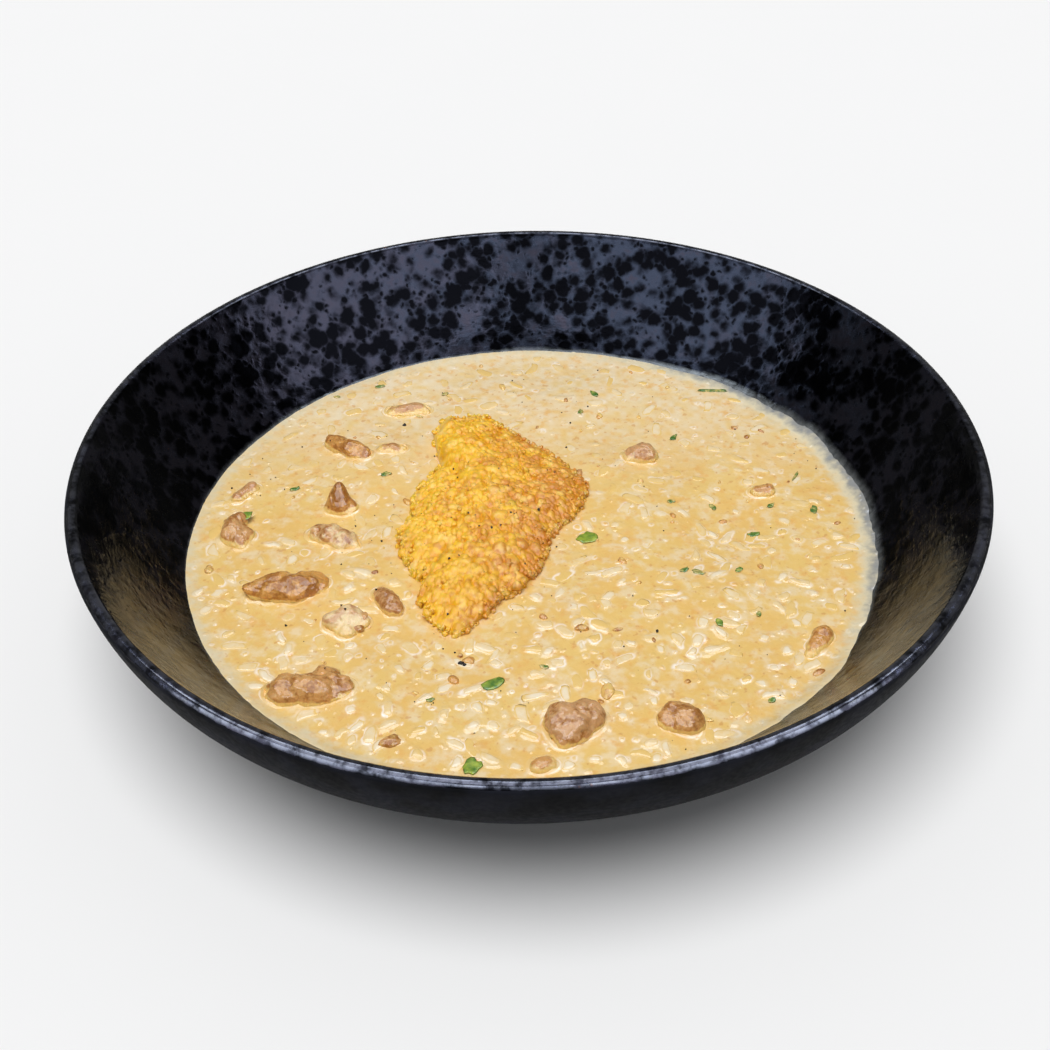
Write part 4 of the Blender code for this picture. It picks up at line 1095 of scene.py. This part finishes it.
class RISOTTO_OT_rice(bpy.types.Operator):
    """Lays the grains of rice that break the surface of the sauce"""

    bl_idname = "risotto.rice"
    bl_label = "Rice"
    columns = 12
    # A grain from its middle outwards: how far out, how high, and how much sauce covers it
    outward = np.array([0.45, 0.78, 1.0, 1.15])
    domed = np.array([0.94, 0.64, 0.12, -0.5])
    coated = np.array([0.1, 0.4, 1.0, 1.0])

    def execute(self, context):
        """Outlines between an oval and a box, |cos|^0.8 and |sin|^0.8, bent like beans, on domed sections."""
        sizes, colours = settings()
        field = GrainField(sizes)
        count, rings = len(field.x), len(self.outward)
        draw = np.random.default_rng(17)
        turn = (np.arange(self.columns) / self.columns * TAU)[None, None]
        uneven = 1 + 0.06 * draw.normal(size=(count, 1, self.columns))
        out = self.outward[None, :, None] * uneven
        length, width = field.length[:, None, None], field.width[:, None, None]
        u = np.sign(np.cos(turn)) * np.abs(np.cos(turn)) ** 0.8 * out * length / 2
        v = np.sign(np.sin(turn)) * np.abs(np.sin(turn)) ** 0.8 * out * width / 2
        v = v + draw.uniform(-0.12, 0.12, (count, 1, 1)) * u**2 / length * 4
        tilt = 1 + draw.uniform(-0.35, 0.35, (count, 1, 1)) * u / length * 2
        z = self.domed[None, :, None] * tilt * field.rise[:, None, None]
        body = np.stack([u, v, z], -1).reshape(count, -1, 3)
        top = np.stack([0 * field.rise, 0 * field.rise, field.rise], -1)[:, None]
        under = np.tile([[(0, 0, -1.2 * MM)]], (count, 1, 1))
        points = turned(np.concatenate([top, body, under], 1), field.turn)
        points[..., 0] += field.x[:, None]
        points[..., 1] += field.y[:, None]
        points[..., :2] -= np.stack(strayed(points[..., 0], points[..., 1]), -1) - points[..., :2]
        points[..., 2] += sauce_height(sizes, points[..., 0], points[..., 1]) + 0.05 * MM
        mesh = make_mesh("rice_grains", *many(points, *capped_tube(rings, self.columns)))
        coat = np.concatenate([[0], np.repeat(self.coated, self.columns), [1]])
        store(mesh, sauced=np.maximum(coat[None], 1 - field.white[:, None]))
        add_piece(mesh, cooked_rice(colours), "risotto")
        return {"FINISHED"}


class RISOTTO_OT_meat(bpy.types.Operator):
    """Shapes each browned piece of meat over its own solid"""

    bl_idname = "risotto.meat"
    bl_label = "Meat"
    rings = 46
    columns = 84

    def execute(self, context):
        sizes, colours = settings()
        material = seared_meat(colours)
        pattern, quads, tris = ball_mesh_parts(self.rings, self.columns)
        for number, name in enumerate(MEAT_NODES):
            place, balls = MEAT_BALLS[name]
            table = np.array(balls)
            # Balls between neighbours fill the waists
            table = np.concatenate([table, (table[1:] + table[:-1]) / 2])
            low, high = (table[:, :3] - table[:, 3:]).min(0), (table[:, :3] + table[:, 3:]).max(0)
            middle = (table[:, :3] * table[:, 3:] ** 3).sum(0) / (table[:, 3] ** 3).sum()
            directions = pattern * (high - low) / 2
            directions /= np.linalg.norm(directions, axis=1)[:, None]
            reach = blended_reach(directions, table[:, :3] - middle, [radius**2 for radius in table[:, 3]])
            points = directions * reach[:, None]
            # Lumps of 5.5 and 2.6 mm and grit of 1.1 mm stand on the form, and creases cut into it
            shifted = points + number * 31
            creases = np.abs(lattice_noise(shifted, 3.4, 3))
            hollow = 0.8 * smooth_step(0.2, 0.0, creases)
            points = directions * (reach * (
                0.97 + 0.13 * lattice_noise(shifted, 5.5, 5) + 0.10 * lattice_noise(shifted, 2.6, 1)
                + 0.03 * lattice_noise(shifted, 1.1, 2) - 0.03 * hollow))[:, None] + middle
            points[:, 2] = np.where(points[:, 2] < 0, points[:, 2] * 0.5, points[:, 2])
            above = points[:, 2].copy()
            x, y = place[0] * MM, place[1] * MM
            points = points * MM + (x, y, float(sauce_height(sizes, np.array(x), np.array(y))))
            mesh = make_mesh(f"{name}_seared", points, quads, tris)
            coat, brown, pink = MEAT_LOOK[name]
            side = lattice_noise(points, 7 * MM, 9) * 0.5 + 0.5
            # Sauce washes over the lowest 2 mm of every piece, and higher where a piece is coated
            washed = smooth_step(2.4, 0.4, above) * 0.45 + smooth_step(1.7, 0.2, above) * 0.55 * side
            # low and hollow carry painted shade: darker towards each piece's foot and in its creases
            store(mesh, cream=np.clip(washed + coat * (0.35 + side), 0, 1), hollow=hollow,
                  whiter=np.clip(coat * 1.6 - 0.2, 0, 1) * smooth_step(0.5, 2.5, above),
                  low=smooth_step(3.4, 0.5, above), brown=brown, pink=pink)
            add_piece(mesh, material, "browned_meat", name)
        return {"FINISHED"}


class RISOTTO_OT_collars(bpy.types.Operator):
    """Draws the sauce up against each piece of meat"""

    bl_idname = "risotto.collars"
    bl_label = "Sauce collars"
    columns = 96
    climb = 9

    def execute(self, context):
        """Each collar's section climbs as h s^2.2 from its outer edge, s = 0, to the meat, s = 1."""
        sizes, _ = settings()
        turn = np.arange(self.columns) / self.columns * TAU
        share = np.linspace(0, 1, self.climb)[:, None]
        points = []
        for number, name in enumerate(MEAT_NODES):
            middle, reach = meat_waterline(name, turn)
            around = np.stack([np.cos(turn) * 2, np.sin(turn) * 2, 0 * turn + number * 5], -1)
            vary = lattice_noise(around, 1.0, 2)
            high = (0.45 + 0.3 * vary) * MM
            run = sizes.collar * (1 + 0.25 * vary)
            radius = np.concatenate([reach + run * (1 - share) - 0.45 * MM * share,
                                     [reach - 0.6 * MM], [reach + run * 0.5]])
            rise = np.concatenate([high * share**2.2, [0 * turn - 0.8 * MM], [0 * turn - 0.9 * MM]])
            rise[0] -= 0.10 * MM
            x, y = middle[0] + radius * np.cos(turn), middle[1] + radius * np.sin(turn)
            points.append(np.stack([x, y, sauce_height(sizes, x, y) + rise + 0.05 * MM], -1).reshape(-1, 3))
        rows = self.climb + 2
        grid = np.arange(rows * self.columns).reshape(rows, self.columns)
        below, beside = np.roll(grid, -1, 0), np.roll(grid, -1, 1)
        quads = np.stack([grid, beside, np.roll(below, -1, 1), below], -1).reshape(-1, 4)
        points = np.array(points)
        mesh = make_mesh("sauce_collars", *many(points, quads, np.zeros((0, 3), int)))
        # A broken painted highlight line runs round at two fifths of the climb, where the wet sauce would
        # shine
        broken = 0.7 * smooth_step(0.0, 0.5, lattice_noise(points, 3.0 * MM, 18))
        lit = np.exp(-((np.arange(rows) - 3.2) / 1.1) ** 2)
        store(mesh, pale=0.12, film=0, line=broken * np.repeat(lit, self.columns)[None])
        add_piece(mesh, bpy.data.materials["cream_sauce"], "risotto")
        return {"FINISHED"}


class RISOTTO_OT_crisp(bpy.types.Operator):
    """Builds the golden crisp: a crowned slab of granules and the loose crumbs on it"""

    bl_idname = "risotto.crisp"
    bl_label = "Crisp"
    cells = 260
    raster_cell = 0.2 * MM
    granule_count = 10500
    loose_count = 1100

    def granules(self, sizes, x, y):
        """Half balls packed over the slab: the highest of 0.8 sqrt(r r - d d), and a random shade each."""
        # The slab's surroundings: their low corner, and how wide and deep they are in millimetres
        low, (wide, deep) = np.array([-43, -50]) * MM, np.array([66, 114])
        sheet = Raster(self.raster_cell, wide * MM, deep * MM, -0.6 * MM)
        tint = np.zeros_like(sheet.field)
        draw = np.random.default_rng(31)
        count = self.granule_count
        for px, py, radius, lift, shade in zip(
                draw.uniform(0, wide, count) * MM, draw.uniform(0, deep, count) * MM,
                sizes.crumb * draw.lognormal(0, 0.33, count), draw.uniform(-0.4, 0.15, count) * MM,
                draw.random(count)):
            part, gx, gy = sheet.window(px, py, radius)
            ball = radius**2 - gx**2 - gy**2
            bump = np.where(ball > 0, 0.8 * np.sqrt(np.maximum(ball, 0)) + lift - 0.3 * MM, -1)
            tint[part][bump > sheet.field[part]] = shade
            np.maximum(sheet.field[part], bump, out=sheet.field[part])
        x, y = x - low[0], y - low[1]
        i, j, _, _ = sheet.cells(x, y)
        return sheet.read(x, y), tint[j, i]

    def frayed(self, turn):
        """The share of the outline that the slab reaches, for an array of angles: three sizes of nibbles."""
        around = np.stack([np.cos(turn), np.sin(turn), 0 * turn], -1)
        return 1 - 0.05 * (1 + 0.5 * lattice_noise(around, 0.07, 8) + 0.4 * lattice_noise(around, 0.19, 9)
                           + 0.4 * lattice_noise(around, 0.03, 10))

    def places(self, turn, *shares):
        """Points on rays from the crisp's centre, at the product of the shares of the way to its outline."""
        reach = crisp_reach(turn)
        for share in shares:
            reach = reach * share
        return CRISP_CENTRE[0] * MM + reach * np.cos(turn), CRISP_CENTRE[1] * MM + reach * np.sin(turn)

    def toast(self, x, y):
        """How toasted the crisp is from place to place: more to the right and to the near end."""
        return 0.34 * smooth_step(-30 * MM, 12 * MM, x) + 0.12 * smooth_step(0, -45 * MM, y)

    def execute(self, context):
        sizes, colours = settings()
        material = golden_crumb(colours)
        disc = square_disc(self.cells)
        quads, edge = grid_faces(self.cells + 1, self.cells + 1)
        turn, out = np.arctan2(disc[:, 1], disc[:, 0]), np.hypot(disc[:, 0], disc[:, 1])
        x, y = self.places(turn, out, self.frayed(turn))
        top, share = crisp_top(sizes, x, y)
        bumps, tint = self.granules(sizes, x, y)
        top = np.minimum(top + bumps * (1 - 0.5 * share**10), CRISP_HIGH.z + 0.4 * MM)
        ring = np.stack([x[edge], y[edge]], -1)
        floor = sizes.level + sizes.dome - 1.6 * MM
        rings = [np.concatenate([ring, np.full((len(ring), 1), floor)], 1)]
        mesh = closed_disc("crisp_slab", np.stack([x, y, top], -1), quads, edge, rings,
                           (CRISP_CENTRE[0] * MM, CRISP_CENTRE[1] * MM, floor))
        # The sauce has soaked the edge at the left and the back left
        soaked = smooth_step(0.7, 0.97, share) * smooth_step(5 * MM, -22 * MM, x)
        soaked *= smooth_step(-42 * MM, -15 * MM, y)
        spare = len(mesh.vertices) - len(x)
        # crevice is painted shade: 1 where a point lies deep between the granules
        store(mesh, crevice=np.append(smooth_step(0.25 * MM, -0.45 * MM, bumps), np.ones(spare)), tint=tint,
              toast=self.toast(x, y), soaked=np.append(soaked, np.full(spare, 0.2)))
        add_piece(mesh, material, "golden_crumb", "crisp")
        self.loose_crumbs(sizes, material)
        return {"FINISHED"}

    def loose_crumbs(self, sizes, material):
        """Balls pushed in and out at random: some lie on the slab, more are stacked up its broken side."""
        draw = np.random.default_rng(41)
        count = self.loose_count
        turn = draw.uniform(0, TAU, count)
        edge = draw.random(count) < 0.75
        out = np.where(edge, draw.uniform(0.97, 1.015, count), np.sqrt(draw.random(count)) * 0.95)
        x, y = self.places(turn, self.frayed(turn), out)
        top, _ = crisp_top(sizes, x, y)
        radius = sizes.crumb * draw.lognormal(-0.1, 0.3, count)
        pattern, quads, tris = ball_mesh_parts(5, 9)
        stretch = draw.uniform(0.75, 1.25, (count, 1, 3))
        points = pattern[None] * stretch * radius[:, None, None]
        points *= 1 + 0.18 * draw.normal(size=(count, len(pattern), 1))
        points = turned(points, turn * 7)
        low = sizes.level + sizes.dome - 0.6 * MM
        top = np.where(edge, low + (top + 0.8 * MM - low) * draw.random(count), top)
        points += np.stack([x, y, np.minimum(top, CRISP_HIGH.z - 1.2 * MM)], -1)[:, None]
        points[..., 2] = np.minimum(points[..., 2], CRISP_HIGH.z + 0.6 * MM)
        mesh = make_mesh("crisp_crumbs", *many(points, quads, tris))
        each = points.shape[1]
        store(mesh, crevice=0, tint=np.repeat(draw.random(count), each),
              toast=np.repeat(self.toast(x, y), each), soaked=0)
        add_piece(mesh, material, "golden_crumb")


class RISOTTO_OT_garnish(bpy.types.Operator):
    """Strews the herb, the pepper and the small wet bits"""

    bl_idname = "risotto.garnish"
    bl_label = "Garnish"
    # The flakes are drawn a fifth larger than measured, which comes closer to the photo
    herb_scale = 1.2
    speck_count = 170
    fleck_count = 46

    def resting_height(self, sizes, x, y):
        """The sauce's surface, or the crisp's or a meat piece's top where one is there."""
        height = sauce_height(sizes, x, y)
        height = np.where(crisp_distance(x, y) < -0.5 * MM, crisp_top(sizes, x, y)[0], height)
        for place, balls in MEAT_BALLS.values():
            base = sauce_height(sizes, np.array(place[0] * MM), np.array(place[1] * MM))
            for bx, by, bz, radius in balls:
                away = np.hypot(x - (place[0] + bx) * MM, y - (place[1] + by) * MM)
                inside = np.maximum((radius * MM) ** 2 - away**2, 0)
                height = np.where(inside > 0, np.maximum(height, base + bz * MM + np.sqrt(inside)), height)
        return height

    def herbs(self, sizes, colours):
        """Thin ragged ovals of leaf, u = cos and v = sin of their half sizes, lifted by a curl of u^2."""
        draw = np.random.default_rng(51)
        table = np.array(HERBS)
        table[:, 2:4] *= self.herb_scale
        count, columns = len(table), 14
        turn = (np.arange(columns) / columns * TAU)[None, None]
        out = np.array([0.5, 0.85, 1.0, 0.85, 0.5])[None, :, None]
        side = np.array([1, 1, 0, -1, -1])[None, :, None]
        ragged = 1 + 0.12 * draw.normal(size=(count, 1, columns))
        length, width = table[:, 2, None, None], table[:, 3, None, None]
        u = np.cos(turn) * out * ragged * length / 2 * MM
        v = np.sin(turn) * out * ragged * width / 2 * MM
        curl = draw.uniform(0.1, 0.35, (count, 1, 1)) * (u / (length / 2 * MM)) ** 2 * MM
        z = curl + side * 0.14 * MM + 0.2 * MM
        body = np.stack([u, v, z + 0 * u], -1).reshape(count, -1, 3)
        tip = np.tile([[(0, 0, 0.34 * MM)]], (count, 1, 1))
        base = np.tile([[(0, 0, 0.06 * MM)]], (count, 1, 1))
        points = turned(np.concatenate([tip, body, base], 1), np.radians(table[:, 4]))
        x, y = table[:, 0] * MM, table[:, 1] * MM
        points += np.stack([x, y, self.resting_height(sizes, x, y)], -1)[:, None]
        mesh = make_mesh("herb_flakes", *many(points, *capped_tube(side.size, columns)))
        bright = np.repeat(table[:, 5], points.shape[1])
        store(mesh, bright=bright, sunk=0.75 * (1 - bright))
        add_piece(mesh, chopped_herb(colours), "risotto")

    def pepper(self, sizes, colours):
        """Angular specks: small balls of few points, each point pushed in or out."""
        draw = np.random.default_rng(61)
        count = self.speck_count
        x, y = strewn(draw, count, wall_radius(sizes, sizes.level) - 3 * MM)
        near = draw.random(count) < 0.3
        x = np.where(near, CRISP_CENTRE[0] * MM + draw.normal(0, 14 * MM, count), x)
        y = np.where(near, CRISP_CENTRE[1] * MM + draw.normal(-8 * MM, 24 * MM, count), y)
        radius = draw.lognormal(math.log(0.18), 0.35, count) * MM
        large = np.array(PEPPERCORNS).T * MM
        x, y, radius = (np.concatenate(pair) for pair in zip(large, (x, y, radius)))
        count = len(x)
        pattern, quads, tris = ball_mesh_parts(2, 5)
        jagged = 1 + 0.28 * draw.normal(size=(count, len(pattern), 1))
        points = pattern[None] * radius[:, None, None] * jagged
        points += np.stack([x, y, self.resting_height(sizes, x, y) + 0.12 * MM], -1)[:, None]
        mesh = make_mesh("pepper_specks", *many(points, quads, tris))
        add_piece(mesh, ground_pepper(colours), "risotto")

    def flecks(self, sizes):
        """Small wet bits of meat, each a low uneven ball half sunk in the sauce."""
        draw = np.random.default_rng(71)
        table = np.array(WET_FLECKS)
        extra = self.fleck_count
        x, y = strewn(draw, extra, wall_radius(sizes, sizes.level) - 5 * MM)
        more = np.stack([x / MM, y / MM, draw.uniform(0.8, 2.0, extra), draw.uniform(0.2, 0.9, extra)], -1)
        x, y = more[:, 0] * MM, more[:, 1] * MM
        clear = (crisp_distance(x, y) > 2 * MM) & (meat_distance(x, y) > 1.5 * MM)
        table = np.concatenate([table, more[clear]])
        count = len(table)
        pattern, quads, tris = ball_mesh_parts(9, 14)
        size = table[:, 2, None, None] / 2 * MM
        points = pattern[None] * size * draw.uniform(
            [1.0, 0.65, 0.4], [1.35, 0.95, 0.65], (count, 3))[:, None]
        lumpy = lattice_noise(pattern[None] + np.arange(count)[:, None, None] * 9.3, 0.8, 3)
        points *= (1 + 0.28 * lumpy)[..., None]
        points = turned(points, draw.uniform(0, math.pi, count))
        x, y = table[:, 0] * MM, table[:, 1] * MM
        points += np.stack([x, y, self.resting_height(sizes, x, y) + 0.12 * MM], -1)[:, None]
        mesh = make_mesh("meat_flecks", *many(points, quads, tris))
        each = points.shape[1]
        store(mesh, cream=np.repeat(draw.uniform(0.1, 0.5, count), each), hollow=0, low=0, whiter=0,
              brown=np.repeat(table[:, 3], each), pink=np.repeat(draw.uniform(0, 0.6, count), each))
        add_piece(mesh, bpy.data.materials["seared_meat"], "browned_meat")

    def execute(self, context):
        sizes, colours = settings()
        self.herbs(sizes, colours)
        self.pepper(sizes, colours)
        self.flecks(sizes)
        return {"FINISHED"}


class RISOTTO_OT_stage(bpy.types.Operator):
    """Sets the pale table, the studio lights and the camera"""

    bl_idname = "risotto.stage"
    bl_label = "Stage"
    camera_place = (0.0, -0.36285, 0.32076)
    camera_view = (-0.00243, 0.78096, -0.62458)
    camera_roll = math.radians(-1.33)
    camera_lens = 53.45
    # Soft boxes that only put shine on the wet food and the glaze: name, place, width, height, watts, colour
    soft_boxes = [
        ("left_box", (-1.30, -1.09, 1.06), 2.2, 2.0, 90, (0.82, 0.89, 1.0)),
        ("right_box", (1.30, -1.09, 1.06), 2.2, 2.0, 105, (0.82, 0.89, 1.0)),
        ("front_box", (0.0, -1.64, 1.15), 0.9, 1.8, 18, (0.82, 0.89, 1.0)),
        ("back_strip", (0.0, 0.81, 1.83), 2.6, 0.4, 24, (0.82, 0.89, 1.0)),
        ("top_box", (0.0, -0.05, 2.0), 2.4, 1.4, 40, (0.84, 0.88, 1.0)),
    ]
    # The great overhead diffuser that gives the soft, even shade: direction, spread, watts a square metre
    overhead = ((-0.08, -0.29, 1.0), 0.74, 2.62)

    def table(self, colours):
        """A flat square sheet far wider than the view."""
        side = 3.0
        corners = [(-side, -side, 0), (side, -side, 0), (side, side, 0), (-side, side, 0)]
        mesh = make_mesh("pale_table_top", corners, [(0, 1, 2, 3)])
        mesh.materials.append(pale_table(colours))
        put("pale_table_top", mesh)

    def execute(self, context):
        scene = context.scene
        _, colours = settings()
        self.table(colours)
        for name, place, wide, high, watts, tint in self.soft_boxes:
            light = bpy.data.lights.new(name, "AREA")
            light.shape, light.size, light.size_y = "RECTANGLE", wide, high
            light.energy, light.color = watts, tint
            lamp = put(name, light)
            lamp.location = place
            lamp.rotation_euler = Vector(place).to_track_quat("Z", "Y").to_euler()
            lamp.visible_diffuse = False
        direction, spread, watts = self.overhead
        light = bpy.data.lights.new("overhead_diffuser", "SUN")
        light.angle, light.energy = spread, watts
        lamp = put("overhead_diffuser", light)
        lamp.rotation_euler = Vector(direction).to_track_quat("Z", "Y").to_euler()
        lamp.visible_glossy = False
        scene.world = bpy.data.worlds.new("studio")
        scene.world.use_nodes = True
        sky = scene.world.node_tree.nodes["Background"]
        sky.inputs["Color"].default_value = (0.97, 0.98, 1.0, 1)
        sky.inputs["Strength"].default_value = 0.30
        forward = Vector(self.camera_view).normalized()
        right = forward.cross(Vector((0, 0, 1))).normalized()
        up = right.cross(forward)
        c, s = math.cos(self.camera_roll), math.sin(self.camera_roll)
        across, upward = c * right + s * up, c * up - s * right
        camera = bpy.data.cameras.new("camera")
        camera.lens, camera.sensor_width = self.camera_lens, 36.0
        camera.clip_start = 0.01
        scene.camera = put("camera", camera)
        facing = Matrix((across, upward, -forward)).transposed().to_4x4()
        scene.camera.matrix_world = Matrix.Translation(self.camera_place) @ facing
        scene.view_settings.view_transform = "Standard"
        return {"FINISHED"}


OPERATORS = (RISOTTO_OT_bowl, RISOTTO_OT_sauce, RISOTTO_OT_rice, RISOTTO_OT_meat, RISOTTO_OT_collars,
             RISOTTO_OT_crisp, RISOTTO_OT_garnish, RISOTTO_OT_stage)


class RISOTTO_PT_panel(bpy.types.Panel):
    """Lists the dish's pieces, sizes and colours"""

    bl_idname = "RISOTTO_PT_panel"
    bl_label = "Risotto bowl"
    bl_space_type = "VIEW_3D"
    bl_region_type = "UI"
    bl_category = "Risotto"

    def draw(self, context):
        for operator in OPERATORS:
            self.layout.operator(operator.bl_idname)
        for group in (context.scene.risotto_sizes, context.scene.risotto_colours):
            column = self.layout.column()
            for name in group.__annotations__:
                column.prop(group, name)


CLASSES = (RisottoSizes, RisottoColours, *OPERATORS, RISOTTO_PT_panel)


def register():
    for kind in CLASSES:
        bpy.utils.register_class(kind)
    bpy.types.Scene.risotto_sizes = PointerProperty(type=RisottoSizes)
    bpy.types.Scene.risotto_colours = PointerProperty(type=RisottoColours)


def unregister():
    del bpy.types.Scene.risotto_colours
    del bpy.types.Scene.risotto_sizes
    for kind in reversed(CLASSES):
        bpy.utils.unregister_class(kind)


def main():
    """Builds every piece in order."""
    register()
    for operator in OPERATORS:
        group, name = operator.bl_idname.split(".")
        if getattr(getattr(bpy.ops, group), name)() != {"FINISHED"}:
            raise RuntimeError(f"{operator.bl_label} was not built")


if __name__ == "__main__":
    main()
